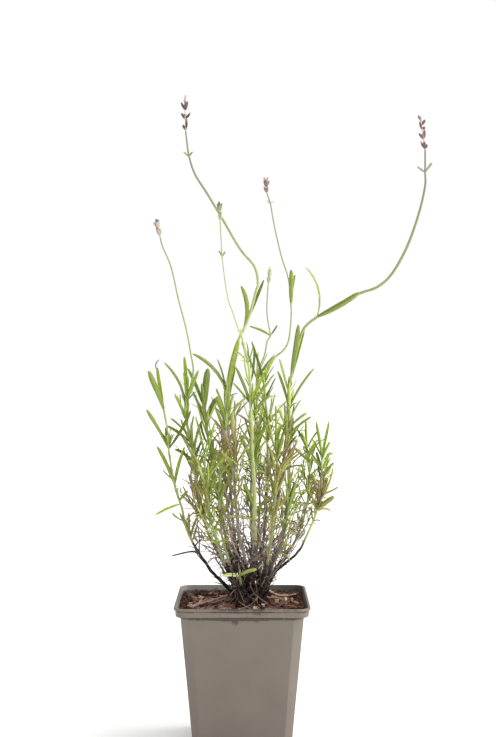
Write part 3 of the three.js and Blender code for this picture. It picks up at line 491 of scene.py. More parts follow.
def turned(first, second, angle):
    """Two directions square to each other, turned in their plane: the first goes to the second."""
    c, s = math.cos(angle), math.sin(angle)
    return first * c + second * s, second * c - first * s


# Routes and the places along them


def route_at(points, place):
    """The point of a smooth curve through the given points, at a place between 0 and 1."""
    spans = len(points) - 1
    k = min(int(spans * place), spans - 1)
    w = spans * place - k
    a, b = points[k], points[k + 1]
    before = points[k - 1] if k > 0 else 2 * a - b
    after = points[k + 2] if k + 2 <= spans else 2 * b - a
    start, end = (b - before) / 2, (after - a) / 2
    return a + start * w + (3 * (b - a) - 2 * start - end) * w**2 + (2 * (a - b) + start + end) * w**3


def route_along(points, place):
    step = 0.0001
    return unit(route_at(points, min(place + step, 1)) - route_at(points, max(place - step, 0)))


def frame_of(along):
    """Two directions square to the growth: an upright stem has them on X and Y."""
    right = unit(np.cross((0, 1, 0), along))
    return right, np.cross(along, right)


def level(angle):
    """The level direction at an angle from X, and the one square to it."""
    out = np.array((math.cos(angle), math.sin(angle), 0))
    return out, np.array((-out[1], out[0], 0))


@dataclass
class Station:
    """A place on a stem, branch or twig."""

    point: np.ndarray
    along: np.ndarray
    radius: float


def stations_on(points, first, last, radius_at):
    spans = len(points) - 1
    places = [first / spans]
    for k in range(first + 1, last + 1):
        turn = route_along(points, (k - 1) / spans) @ route_along(points, k / spans)
        if math.acos(min(1, turn)) > math.radians(STEM["bend"]):
            places.append((k - 0.5) / spans)
        places.append(k / spans)
    radii = [radius_at((t * spans - first) / (last - first)) for t in places]
    return [Station(route_at(points, t), route_along(points, t), r) for t, r in zip(places, radii)]


def seat_on(stations, place):
    k = min(int(place), len(stations) - 2)
    low, high, share = stations[k], stations[k + 1], place - k
    along = unit(mix(low.along, high.along, share))
    return Station(mix(low.point, high.point, share), along, mix(low.radius, high.radius, share))


def seat_at_height(stations, height):
    k = next(n for n, station in enumerate(stations) if station.point[2] >= height)
    low, high = stations[k - 1].point[2], stations[k].point[2]
    return seat_on(stations, k - 1 + (height - low) / (high - low))


# Midribs. A leaf's midrib is an arc that starts along forward and bends towards out.


@dataclass
class Leaf:
    base: np.ndarray
    forward: np.ndarray
    out: np.ndarray
    length: float
    curl: float
    width: float
    turn: float
    age: float = 0.0
    order: int = -1

    def at(self, share):
        bend = self.curl if abs(self.curl) > 1e-6 else 1e-6
        share = np.asarray(share, float)[..., None]
        ahead = np.sin(bend * share) / bend * self.length * self.forward
        return self.base + ahead + (1 - np.cos(bend * share)) / bend * self.length * self.out

    def bow_more(self, factor):
        """Bows the leaf by another angle between the same two ends."""
        chord = self.at(1.0) - self.base
        half = self.curl / 2
        straight = unit(chord)
        away = unit(self.out * math.cos(half) - self.forward * math.sin(half))
        half *= factor
        self.forward, self.out = turned(straight, away, -half)
        self.length, self.curl = np.linalg.norm(chord) * half / math.sin(half), 2 * half

    def along(self, share):
        angle = self.curl * np.asarray(share, float)[..., None]
        return self.forward * np.cos(angle) + self.out * np.sin(angle)


def leaf_to_tip(seat, tip, bow, width, turn):
    """A leaf from a place on a stem to a tip, bowed away from the stem by an angle."""
    chord = tip - seat.point
    span = np.linalg.norm(chord)
    straight = chord / span
    away = unit(straight * (seat.along @ straight) - seat.along)
    half = bow / 2 if abs(bow) > 1e-6 else 1e-6
    forward, out = turned(straight, away, -half)
    return Leaf(seat.point, forward, out, span * half / math.sin(half), 2 * half, width, turn)


def leaf_by_splay(seat, azimuth, splay, length, curl, width, turn):
    """A leaf from a place on a stem, by its angle round the stem and its splay from it."""
    right, back = frame_of(seat.along)
    side, _ = turned(right, back, math.radians(azimuth))
    forward, out = turned(seat.along, side, math.radians(splay))
    return Leaf(seat.point, forward, out, length, curl, width, turn)


def usual_width(length):
    low, high = LEAF["length"]
    return mix(*LEAF["width"], min(1, max(0, (length - low) / (high - low))))


# Clearance between what grows in different bodies


class Thicket:
    """Everything placed so far, as straight rods, so that a new leaf can be kept clear of it."""

    def __init__(self):
        self.rods = np.zeros((0, 9))

    def add(self, body, points, radius, is_leaf=False):
        points = np.asarray(points)
        count = len(points) - 1
        part = np.arange(count) if is_leaf else np.full(count, -1)
        columns = np.column_stack([np.full(count, body), part, np.full(count, radius)])
        self.rods = np.vstack([self.rods, np.hstack([columns, points[:-1], points[1:]])])

    def gaps(self, p, q):
        """How far the rod from p to q passes from each rod placed so far."""
        starts, ends = self.rods[:, 3:6], self.rods[:, 6:9]
        d1, d2, r = q - p, ends - starts, p - starts
        a, e, f, c, b = d1 @ d1, (d2 * d2).sum(1), (d2 * r).sum(1), r @ d1, d2 @ d1
        spare = a * e - b * b
        skew = spare > 1e-9
        s = np.where(skew, np.clip((b * f - c * e) / np.where(skew, spare, 1), 0, 1), 0)
        t = (b * s + f) / e
        beyond = (t < 0) | (t > 1)
        t = np.clip(t, 0, 1)
        s = np.where(beyond, np.clip((b * t - c) / a, 0, 1), s)
        return np.linalg.norm(p + d1 * s[:, None] - starts - d2 * t[:, None], axis=1)

    def is_clear(self, body, points, radius):
        if (points[:, 2] - radius < LOWEST).any():
            return False
        same = self.rods[:, 0] == body
        wanted = (radius + self.rods[:, 2]) * np.where(same, SAME_BODY_SHARE, 1)
        for k in range(len(points) - 1):
            counts = ~same | ((self.rods[:, 1] >= 1) & (k >= 1))
            if (counts & (self.gaps(points[k], points[k + 1]) < wanted)).any():
                return False
        return True

    def place(self, body, tries, margin=MARGIN, steps=4):
        """Keeps the first try that is clear, or nothing."""
        for leaf in tries:
            points = leaf.at(np.linspace(0, 1, steps + 1))
            radius = leaf.width / 2 + margin
            if self.is_clear(body, points, radius):
                self.add(body, points, radius, True)
                return [leaf]
        return []


def turned_tries(seat, azimuth, splay, *form):
    return (leaf_by_splay(seat, azimuth + a, splay + b, *form) for a, b in zip(TURNS, LEANS))


# The plan of the plant

WOOD_BODY = -1
HEAD_BODY = -100


class Shoot:
    """One shoot: its route in brown wood and in green stem, with all that grows on it."""

    def __init__(self, index, name, wood, stem, pairs, leaves=(), head=None, girth=1):
        self.index, self.name, self.leaves, self.pairs, self.head = index, name, leaves, pairs, head
        self.node = f"leafy_stem_{index + 1:02d}"
        self.roll = 37 * index
        first, share = wood[0], WOOD["start_spread"]
        start = (mix(CROWN["x"], first[0], share), mix(CROWN["y"], first[1], share), WOOD["start_height"])
        self.points = np.array([start, *wood, *stem], float)
        self.split = len(wood)
        top = STEM["stalk"] if head else STEM["tip"]

        def wood_radius(share):
            return mix(WOOD["base"], WOOD["tip"], share) * girth

        def stem_radius(share):
            return mix(top, STEM["base"] * girth, (1 - share) ** STEM["taper"])

        last = len(self.points) - 1
        self.wood = stations_on(self.points, 0, self.split, wood_radius)
        self.stem = stations_on(self.points, self.split, last, stem_radius)
        self.wood_radius, self.stem_radius = wood_radius, stem_radius
        self.widest = (WOOD["base"] * girth, STEM["base"] * girth + MARGIN)
        self.green, self.upright, self.tufts, self.sprigs, self.sprig_leaves = [], [], [], [], []
        self.twigs, self.dry_twigs, self.dry, self.withered, self.browned = [], [], [], [], []


def place_set_leaves(shoot, thicket):
    for order, (height, tip, bow, width, *turn) in enumerate(shoot.leaves):
        seat = seat_at_height(shoot.stem, height)
        ends = (np.array(tip) + (0, shift, 0) for shift in SHIFTS)
        tries = (leaf_to_tip(seat, end, bow, width, *(turn or [LEAF["usual_turn"]])) for end in ends)
        for leaf in thicket.place(shoot.index, tries):
            leaf.order = order
            shoot.green.append(leaf)


def place_pairs(shoot, thicket, draw):
    count, low, high, low_length, high_length = shoot.pairs
    for k in range(count):
        share = k / (count - 1)
        seat = seat_at_height(shoot.stem, mix(low, high, share))
        for side in (0, 180):
            azimuth = shoot.roll + 90 * k + side + spread(draw, 6)
            splay = mix(*LEAF["splay"], share) + spread(draw, 8)
            length = mix(low_length, high_length, share) * between(draw, (0.82, 1.12))
            curl = math.radians(spread(draw, 30) - 8)
            form = (length, curl, usual_width(length), spread(draw, 70))
            shoot.green += thicket.place(shoot.index, turned_tries(seat, azimuth, splay, *form))


def place_dry_leaves(shoot, thicket, stations, first, count, draw):
    for k in range(count):
        place = mix(first, len(stations) - 1, (k + 0.35 + 0.6 * draw()) / count)
        azimuth = 137.5 * k + 360 * draw()
        splay = between(draw, DRY_LEAF["splay"])
        length = between(draw, DRY_LEAF["length"])
        curl = math.radians(spread(draw, 85))
        form = (length, curl, usual_width(length), spread(draw, 80))
        shoot.dry += thicket.place(WOOD_BODY, turned_tries(seat_on(stations, place), azimuth, splay, *form))


def twig_stations(twig):
    shares = (0, 0.5, 1)
    radii = [mix(TWIG["base"], TWIG["tip"], share) for share in shares]
    return [Station(twig.at(share), twig.along(share), radius) for share, radius in zip(shares, radii)]


def place_twigs(shoot, thicket, draw):
    low, high = TWIG["zone"]
    for k in range(TWIG["per_stem"]):
        place = mix(low, high, (k + draw()) / TWIG["per_stem"]) * (len(shoot.wood) - 1)
        length = between(draw, TWIG["length"])
        curl = math.radians(spread(draw, 18) - 22)
        azimuth = 360 * draw()
        splay = between(draw, TWIG["splay"])
        tries = turned_tries(seat_on(shoot.wood, place), azimuth, splay, length, curl, 2.2, 0)
        shoot.twigs += thicket.place(WOOD_BODY, tries)


def bare_twig():
    points = np.array(BARE_TWIG["points"], float)
    return stations_on(points, 0, len(points) - 1, lambda share: BARE_TWIG["radius"] * (1.3 - 0.4 * share))


def grow_plan():
    """Every stem first, then the listed leaves, then those by rule, as in the solids."""
    shoots = [Shoot(index, **form) for index, form in enumerate(SHOOTS)]
    thicket = Thicket()
    for shoot in shoots:
        thicket.add(WOOD_BODY, [s.point for s in shoot.wood], shoot.widest[0])
        thicket.add(shoot.index, [s.point for s in shoot.stem], shoot.widest[1])
        if shoot.head:
            thicket.add(HEAD_BODY - shoot.index, [shoot.points[-1], shoot.head["tip"]], 3.2)
    thicket.add(WOOD_BODY, [s.point for s in bare_twig()], BARE_TWIG["radius"] + MARGIN)
    for shoot in shoots:
        place_set_leaves(shoot, thicket)
    for shoot in shoots:
        place_pairs(shoot, thicket, random_stream(PLANT_SEED + shoot.index))
    for shoot in shoots:
        draw = random_stream(PLANT_SEED + 100 + shoot.index)
        place_twigs(shoot, thicket, draw)
        place_dry_leaves(shoot, thicket, shoot.wood, 1.5, DRY_LEAF["per_stem"], draw)
        for twig in shoot.twigs:
            place_dry_leaves(shoot, thicket, twig_stations(twig), 0, DRY_LEAF["per_twig"], draw)
    return shoots, thicket


# Shapes that are made once and copied

# Which of its piece's materials a shape wears, on a shoot and on a flower head
LEAF_KIND, STEM_KIND = range(2)
CALYX_KIND, BUD_KIND, BRACT_KIND, TOP_KIND = range(4)


class Blank:
    """A small closed shape made with Blender's mesh operators, to be copied many times."""

    def __init__(self, bm):
        self.mesh = bpy.data.meshes.new("blank")
        bm.to_mesh(self.mesh)
        bm.free()
        self.points = np.zeros(3 * len(self.mesh.vertices))
        self.mesh.vertices.foreach_get("co", self.points)
        self.points = self.points.reshape(-1, 3)
        self.faces = len(self.mesh.polygons)


class Tube(Blank):
    """A closed tube. Its points are known by their ring, from the foot, and their side."""

    def __init__(self, sides, rings):
        bm = bmesh.new()
        bmesh.ops.create_cone(bm, cap_ends=True, segments=sides, radius1=1, radius2=1, depth=1)
        uprights = [e for e in bm.edges if abs(e.verts[0].co.z - e.verts[1].co.z) > 0.5]
        if rings > 2:
            bmesh.ops.subdivide_edges(bm, edges=uprights, cuts=rings - 2)
        super().__init__(bm)
        x, y, z = self.points.T
        self.ring = np.rint((z + 0.5) * (rings - 1)).astype(int)
        turn = np.arctan2(y, x) - np.pi / 2
        self.side = np.rint(turn / (2 * np.pi / sides)).astype(int) % sides


@cache
def tube(sides, rings):
    return Tube(sides, rings)


@cache
def chip_blank():
    """A block with a point in the middle of every edge and face, so that it can be broken."""
    bm = bmesh.new()
    bmesh.ops.create_cube(bm, size=2)
    bmesh.ops.subdivide_edges(bm, edges=bm.edges[:], cuts=1, use_grid_fill=True)
    return Blank(bm)


@cache
def crumb_blank():
    bm = bmesh.new()
    bmesh.ops.create_icosphere(bm, subdivisions=1, radius=1)
    return Blank(bm)


class Clump:
    """Copies of small shapes gathered in one mesh.

    Each point carries two marks for the materials. Form is where it lies on its own shape:
    on a leaf (across, along, under), on a limb (cosine, millimetres along, sine). Growth is
    (tone, age, share of the length).
    """

    def __init__(self):
        self.bm = bmesh.new()
        self.points, self.form, self.growth, self.kinds = [], [], [], []

    def add(self, blank, points, form, tone, age=0.0, kind=0, share=None):
        self.bm.from_mesh(blank.mesh)
        count = len(points)
        share = np.zeros(count) if share is None else share
        self.points.append(points)
        self.form.append(form)
        self.growth.append(np.column_stack([np.full(count, tone), np.full(count, age), share]))
        self.kinds.append(np.full(blank.faces, kind))

    def piece(self, name, slot, *materials, smooth=True):
        mesh = bpy.data.meshes.new(name)
        self.bm.to_mesh(mesh)
        self.bm.free()
        mesh.vertices.foreach_set("co", (np.vstack(self.points) * MM).ravel())
        for title, values in (("form", self.form), ("growth", self.growth)):
            layer = mesh.attributes.new(title, "FLOAT_VECTOR", "POINT")
            layer.data.foreach_set("vector", np.vstack(values).ravel())
        mesh.polygons.foreach_set("use_smooth", [smooth] * len(mesh.polygons))
        piece = new_piece(name, mesh, slot, *materials)
        mesh.polygons.foreach_set("material_index", np.concatenate(self.kinds))
        mesh.update()
        return piece


def new_piece(name, mesh, slot, *materials):
    piece = bpy.data.objects.new(name, mesh)
    bpy.context.scene.collection.objects.link(piece)
    for material in materials:
        mesh.materials.append(material)
    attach(piece, "root")
    return piece


def mesh_of(bm, name):
    """The mesh of a shape that was drawn in millimetres."""
    bmesh.ops.scale(bm, verts=bm.verts[:], vec=(MM, MM, MM))
    mesh = bpy.data.meshes.new(name)
    bm.to_mesh(mesh)
    bm.free()
    return mesh


def carried_frames(along, right):
    """Directions square to a route, carried along it without a twist."""
    rights = []
    for direction in along:
        right = unit(right - direction * (right @ direction))
        rights.append(right)
    rights = np.array(rights)
    return rights, np.cross(along, rights)


def ring_grid(centres, right, back, section):
    """Points of a tube: section holds (right, back) for each ring and side."""
    return centres[:, None] + section[..., :1] * right[:, None] + section[..., 1:] * back[:, None]


# Limbs: stems, branches, twigs and fibres


def limb(clump, centres, radii, tone, *, sides=6, corner=0.0, rough=0.0, rng=None, age=0.0, kind=LEAF_KIND):
    """A closed tube along a row of points, squared by corner and roughened by rough."""
    count = len(centres)
    blank = tube(sides, count)
    along = unit(np.gradient(centres, axis=0))
    right, back = carried_frames(along, frame_of(along[0])[0])
    angles = (np.arange(sides) + 0.5) * 2 * np.pi / sides
    swell = 1 + corner * np.cos(4 * angles - np.pi)[None] + np.zeros((count, 1))
    if rough:
        ridges = rng.normal(0, rough, sides)[None]
        swell = swell + ridges + rng.normal(0, rough * 0.6, (count, sides))
    reach = np.asarray(radii)[:, None] * swell
    section = np.stack([reach * np.cos(angles), reach * np.sin(angles)], axis=-1)
    run = np.concatenate([[0], np.cumsum(np.linalg.norm(np.diff(centres, axis=0), axis=1))])
    grid = ring_grid(centres, right, back, section)
    where = (blank.ring, blank.side)
    form = np.column_stack([np.cos(angles)[blank.side], run[blank.ring], np.sin(angles)[blank.side]])
    share = blank.ring / (count - 1)
    clump.add(blank, grid[where], form, tone, age, kind, share)


def route_points(points, first, last, step):
    """Points along part of a route, a step in millimetres apart."""
    spans = len(points) - 1
    coarse = np.array([route_at(points, t) for t in np.linspace(first / spans, last / spans, 12)])
    length = np.linalg.norm(np.diff(coarse, axis=0), axis=1).sum()
    count = max(4, int(length / step) + 1)
    places = np.linspace(first / spans, last / spans, count)
    return np.array([route_at(points, t) for t in places])


# Leaf blades

# Section of a blade, in half widths: edge, crown, groove of the midrib, and below them the
# rib that stands out underneath
BLADE_SECTION = np.array([(1, -0.06), (0.55, 0.08), (0, -0.1), (-0.55, 0.08), (-1, -0.06), (0, -0.3)])
BLADE_UNDER = np.array([0, 0, 0, 0, 0, 1])
BLADE_SHARES = (0, 0.1, 0.24, 0.42, 0.6, 0.76, 0.88, 0.96, 1)
BLADE_WIDTHS = (0.34, 0.6, 0.86, 0.97, 1, 0.97, 0.84, 0.56, 0.16)
SMALL_SHARES = (0, 0.2, 0.45, 0.7, 0.9, 1)
SMALL_WIDTHS = (0.3, 0.75, 1, 0.95, 0.62, 0.14)


def leaf_blade(clump, leaf, tone, rng, *, small=False, thickness=0.34, fold=0.3, kind=LEAF_KIND):
    """A closed blade along the leaf's arc, folded up a little to both sides of its midrib. Its
    upper face looks to the stem that bears it."""
    shares = np.array(SMALL_SHARES if small else BLADE_SHARES)
    widths = np.array(SMALL_WIDTHS if small else BLADE_WIDTHS)
    blank = tube(6, len(shares))
    along = leaf.along(shares)
    top = unit(np.cross(along, np.cross(leaf.forward, leaf.out)))
    wave = rng.normal(0, 5) * np.sin(shares * rng.uniform(3, 7))
    turn = np.radians(leaf.turn * np.interp(shares, (0.3, 0.76), (0.8, 1)) + wave)[:, None]
    top = top * np.cos(turn) + np.cross(along, top) * np.sin(turn)
    side = np.cross(top, along)
    half = leaf.width / 2 * widths * rng.uniform(0.92, 1.0)
    section = BLADE_SECTION[None] * half[:, None, None]
    section[:, :, 1] += fold * half[:, None] * np.abs(BLADE_SECTION[None, :, 0])
    section[:, 5, 1] -= thickness * np.sqrt(widths)
    centres = leaf.at(shares) + top * 0.25
    grid = ring_grid(centres, side, top, section)
    across = BLADE_SECTION[blank.side, 0]
    share = shares[blank.ring]
    form = np.column_stack([across, share, BLADE_UNDER[blank.side]])
    clump.add(blank, grid[blank.ring, blank.side], form, tone, leaf.age, kind, share)


# Materials

# A Mix node's settings where it blends two colours
BLEND = dict(out=2, data_type="RGBA")


def linear(hex_color):
    """An sRGB colour such as #8a8175 as the linear values that Blender mixes."""
    channels = [int(hex_color[k : k + 2], 16) / 255 for k in (1, 3, 5)]
    return tuple(c / 12.92 if c <= 0.04045 else ((c + 0.055) / 1.055) ** 2.4 for c in channels)


def rgba(color):
    return (*(linear(color) if isinstance(color, str) else color), 1)


def add_node(tree, kind, inputs=(), stops=None, out=0, **settings):
    """Adds a node with its settings and gives one of its outputs, or all where out is None.
    Inputs go by name or in a row, and each is a value or another node's output."""
    node = tree.nodes.new(f"ShaderNode{kind}")
    for key, value in settings.items():
        setattr(node, key, value)
    for key, value in inputs.items() if isinstance(inputs, dict) else enumerate(inputs):
        if isinstance(value, bpy.types.NodeSocket):
            tree.links.new(value, node.inputs[key])
        else:
            node.inputs[key].default_value = value
    if stops:
        elements = node.color_ramp.elements
        while len(elements) < len(stops):
            elements.new(1)
        for element, (place, color) in zip(elements, stops):
            element.position = place
            element.color = rgba(color)
    return node.outputs if out is None else node.outputs[out]


def new_material(name, **surface):
    """A material with its shader's plain values set, and what adds nodes to it."""
    material = bpy.data.materials.new(name)
    material.use_nodes = True
    tree = material.node_tree
    tree.nodes.clear()
    face = add_node(tree, "BsdfPrincipled", surface)
    add_node(tree, "OutputMaterial", {"Surface": face}, out=None)
    return material, partial(add_node, tree), face.node


def finish_material(material, shader, color, relief, strength, distance):
    """Gives the shader its colour and the bumps of its relief, whose depth is in metres."""
    tree = material.node_tree
    tree.links.new(color, shader.inputs["Base Color"])
    bump = add_node(tree, "Bump", {"Height": relief, "Strength": strength, "Distance": distance})
    tree.links.new(bump, shader.inputs["Normal"])
    return material


def where_on_plant(node):
    """The place in metres, and the marks form and growth that each point carries."""
    place = node("TexCoord", out="Object")
    form = node("Attribute", out="Vector", attribute_name="form")
    growth = node("Attribute", out="Vector", attribute_name="growth")
    return place, form, growth


# How thick the dust lies up the pot, as shares of its height: round the foot, in smudges below
# the collar and on the rim top, and in the dark lines right under the collar and under the bead,
# which are painted shade with dust in them; and on the walls inside, where the dark towards the
# soil is dust and painted shade
DUST_AND_SHADE_OUTSIDE = (
    (0, "#a0a0a0"), (0.1, "#303030"), (0.87, "#303030"), (0.898, "#7c7c7c"), (0.917, "#a0a0a0"),
    (0.921, "#ffffff"), (0.9415, "#ffffff"), (0.9435, "#6a6a6a"), (0.972, "#909090"),
    (0.981, "#ffffff"), (0.985, "#ffffff"), (0.988, "#909090"), (0.997, "#c0c0c0"),
)
DUST_AND_SHADE_INSIDE = ((0, "#ffffff"), (0.957, "#ffffff"), (0.97, "#a0a0a0"), (0.985, "#505050"))


def moulded_polypropylene(name, settings, *, inside=False):
    """Injection-moulded polypropylene: an even satin face with a fine mould grain, dusted with
    dried peat round the foot and below the collar, and darkened by painted shade in lines under
    the bead and the collar. Its inside is stained, with painted shade to the right, and peat dust
    and painted shade down towards the soil."""
    material, node, shader = new_material(name, **{"IOR": 1.49, "Roughness": 0.65 if inside else 0.5})
    place = node("TexCoord", out="Object")
    across, _, height = node("SeparateXYZ", {"Vector": place}, out=None)
    cloud = node("TexNoise", {"Vector": place, "Scale": 38, "Detail": 5})
    pair = (settings.stain, settings.stain_pale) if inside else (settings.plastic, settings.plastic_worn)
    # Lighter towards the top
    rise = node("MapRange", (height, 0.02, 0.115, -0.35, 0.35))
    worn = node("Math", (cloud, rise), operation="ADD")
    blend = {"Factor": worn, "A": rgba(pair[0]), "B": rgba(pair[1])}
    tint = node("Mix", blend, clamp_factor=True, **BLEND)
    if inside:
        # Painted shade inside: darker to the right
        painted_shade_inside = node("MapRange", (across, 0.0, 0.035, 0.1, 0.85))
        tint = node("Mix", {"Factor": painted_shade_inside, "A": tint, "B": rgba(settings.painted_shade_inside)}, **BLEND)
    # Peat dust and painted shade: blotches 2 to 8 mm across, thick in the bands that the stops give
    # by height. The lines under the collar and the bead are painted shade, and inside the dark
    # towards the soil is dust and painted shade
    blotch = node("TexNoise", {"Vector": place, "Scale": 190, "Detail": 8, "Roughness": 0.7})
    share = node("Math", (height, POT["height"] * MM), operation="DIVIDE")
    band = node("ValToRGB", {"Fac": share}, stops=DUST_AND_SHADE_INSIDE if inside else DUST_AND_SHADE_OUTSIDE)
    lift = node("MapRange", (band, 0, 1, -0.7, -0.2 if inside else -0.34))
    over = node("Math", (blotch, lift), operation="ADD")
    if not inside:
        # Most dust has settled round the middle of the front
        aside = node("Math", (across,), operation="ABSOLUTE")
        near = node("MapRange", (aside, 0.01, 0.03, 0.45, 0))
        over = node("Math", (near, band, over), operation="MULTIPLY_ADD")
    amount = node("MapRange", (over, 0, 0.14, 0, 0.9))
    dusted_and_shaded = node("Mix", {"Factor": amount, "A": tint, "B": rgba(settings.dust_and_shade)}, **BLEND)
    # Mould grain of 0.4 mm
    grain = node("TexNoise", {"Vector": place, "Scale": 2400, "Detail": 2})
    return finish_material(material, shader, dusted_and_shaded, grain, 0.12, 0.0002)


def damp_peat(settings):
    """Loose peat: dark, with no shine, mottled from crumb to crumb."""
    material, node, shader = new_material("Damp peat", **{"Roughness": 0.95, "Specular IOR Level": 0.2})
    place = node("TexCoord", out="Object")
    crumb = node("TexNoise", {"Vector": place, "Scale": 420, "Detail": 6, "Roughness": 0.7})
    stops = ((0.3, settings.peat_dark), (0.52, settings.peat), (0.72, "#6f5242"))
    color = node("ValToRGB", {"Fac": crumb}, stops=stops)
    return finish_material(material, shader, color, crumb, 0.8, 0.0012)


def chipped_bark(name, settings):
    """Composted pine bark, broken by a mill: each chip has its own brown, from wet dark red
    to dry tan, and a split fibrous face."""
    material, node, shader = new_material(name, **{"Roughness": 0.85, "Specular IOR Level": 0.3})
    place, _, growth = where_on_plant(node)
    tone = node("SeparateXYZ", {"Vector": growth}, out="X")
    stops = (
        (0, "#2c1b15"), (0.3, "#4d3225"), (0.4, "#6d3d31"), (0.6, settings.chip), (0.8, "#9c7b69"),
        (0.93, settings.chip_pale), (1, "#e3cbb0"),
    )
    own = node("ValToRGB", {"Fac": tone}, stops=stops)
    fibre = node("TexNoise", {"Vector": place, "Scale": 650, "Detail": 6})
    shade = node("MapRange", (fibre, 0.3, 0.75, 0.65, 1.25))
    tinted = node("Mix", {"Factor": 1, "A": own, "B": shade}, blend_type="MULTIPLY", **BLEND)
    return finish_material(material, shader, tinted, fibre, 0.5, 0.0005)


def streaked(name, stops, *, streak=1.3, run=0.22, mottle=0.6, low_dark_shift=0.45):
    """Wood, bark and root grown in long fibres: streaks run with the limb, about a millimetre
    wide, and each limb has its own tone."""
    material, node, shader = new_material(name, **{"Roughness": 0.85, "Specular IOR Level": 0.25})
    place, form, growth = where_on_plant(node)
    tone = node("SeparateXYZ", {"Vector": growth}, out="X")
    stretched = node("Mapping", {"Vector": form, "Scale": (streak, run, streak)})
    fibre = node("TexNoise", {"Vector": stretched, "Scale": 1.6, "Detail": 6})
    swing = node("MapRange", (fibre, 0.3, 0.7, -mottle / 2, mottle / 2))
    pick = node("Math", (tone, swing), operation="ADD")
    # Darker towards the soil, paler above
    height = node("SeparateXYZ", {"Vector": place}, out="Z")
    low_dark = node("MapRange", (height, 0.13, 0.175, -low_dark_shift, 0.12))
    shade = node("Math", (pick, low_dark), operation="ADD")
    color = node("ValToRGB", {"Fac": shade}, stops=stops)
    return finish_material(material, shader, color, fibre, 0.7, 0.0004)


def downy_leaf(name, settings, *, dry=False):
    """Living leaf with a coat of fine grey down: matt, paler along the midrib and underneath,
    yellower where light comes through its thin edges, and browner with age. A dry leaf is
    grey-brown to mauve with darker veins."""
    surface = {
        "Roughness": 0.6,
        "Specular IOR Level": 0.22,
        "Sheen Weight": 0.03,
        "Sheen Roughness": 0.45,
        "Subsurface Weight": 0.0 if dry else 0.1,
        "Subsurface Scale": 0.001,
        "Subsurface Radius": (0.6, 1.0, 0.25),
    }
    material, node, shader = new_material(name, **surface)
    place, form, growth = where_on_plant(node)
    across, along, under = node("SeparateXYZ", {"Vector": form}, out=None)
    tone, age, _ = node("SeparateXYZ", {"Vector": growth}, out=None)
    # Blotches of about 3 mm, and flecks of down drawn at 0.4 mm, coarser than the hairs are
    blotch = node("TexNoise", {"Vector": place, "Scale": 330, "Detail": 4})
    fleck = node("TexNoise", {"Vector": place, "Scale": 2500, "Detail": 2})
    swing = node("MapRange", (blotch, 0.3, 0.7, -0.16, 0.16))
    pick = node("Math", (tone, swing), operation="ADD")
    if dry:
        stops = (
            (0, "#3b2d26"), (0.35, settings.dry), (0.65, "#94806f"), (0.85, settings.dry_mauve),
            (1, "#c6b3ad"),
        )
        rib_color, edge_color, under_color = settings.dry, "#6c5a4c", "#a89a8c"
    else:
        stops = (
            (0, "#34510c"), (0.16, settings.shade), (0.4, settings.green), (0.7, settings.young),
            (1, "#dadf9c"),
        )
        rib_color, edge_color, under_color = settings.rib, settings.edge, settings.underside
    color = node("ValToRGB", {"Fac": pick}, stops=stops)
    # Midrib, a fifth of the blade wide, then the thin edge, then the underside
    distance = node("Math", (across,), operation="ABSOLUTE")
    for measure, near, far, at_near, at_far, shown in (
        (distance, 0.06, 0.24, 0.75, 0, rib_color),
        (distance, 0.72, 1.0, 0, 0.45, edge_color),
        (under, 0.02, 0.2, 0, 0.55, under_color),
    ):
        much = node("MapRange", (measure, near, far, at_near, at_far))
        color = node("Mix", {"Factor": much, "A": color, "B": rgba(shown)}, **BLEND)
    # Age turns the blade olive, then red-brown, then grey, and its tip first
    tip = node("MapRange", (along, 0.5, 1.0, 0, 0.6))
    brown = node("Math", (age, tip, age), operation="MULTIPLY_ADD")
    stops = ((0.1, "#959544"), (0.4, "#8c8242"), (0.65, settings.withered), (0.95, "#94867c"))
    faded = node("ValToRGB", {"Fac": brown}, stops=stops)
    share = node("MapRange", (brown, 0.05, 0.5, 0, 1))
    aged = node("Mix", {"Factor": share, "A": color, "B": faded}, clamp_factor=True, **BLEND)
    return finish_material(material, shader, aged, fleck, 0.25, 0.0002)


def green_stem(settings):
    """Soft square stem of this year's growth: pale grey-green, ribbed down its corners."""
    surface = {"Roughness": 0.6, "Sheen Weight": 0.15, "Subsurface Weight": 0.15, "Subsurface Scale": 0.001}
    material, node, shader = new_material("Downy green stem", **surface)
    place, form, growth = where_on_plant(node)
    tone, age, _ = node("SeparateXYZ", {"Vector": growth}, out=None)
    stretched = node("Mapping", {"Vector": form, "Scale": (1.5, 0.12, 1.5)})
    streak = node("TexNoise", {"Vector": stretched, "Scale": 2, "Detail": 4})
    swing = node("MapRange", (streak, 0.3, 0.7, -0.2, 0.2))
    pick = node("Math", (tone, swing), operation="ADD")
    greens = ((0, "#6d7b36"), (0.5, settings.stem), (1, "#d2d792"))
    own = node("ValToRGB", {"Fac": pick}, stops=greens)
    # Grey-mauve wood has formed up to the height that the stem gives as its age, in metres
    height = node("SeparateXYZ", {"Vector": place}, out="Z")
    spare = node("Math", (age, height), operation="SUBTRACT")
    foot = node("MapRange", (spare, -0.012, 0.02, 0.0, 0.92))
    stops = ((0.35, "#41362f"), (0.5, "#6e6058"), (0.68, "#a39691"))
    wood = node("ValToRGB", {"Fac": streak}, stops=stops)
    ripe = node("Mix", {"Factor": foot, "A": own, "B": wood}, **BLEND)
    # A flower stalk is greyer where it thins out towards its head
    far = node("MapRange", (height, 0.32, 0.49, 0.1, 0.85))
    grey = node("Mix", {"Factor": far, "A": ripe, "B": rgba("#6f7163")}, **BLEND)
    return finish_material(material, shader, grey, streak, 0.4, 0.0003)


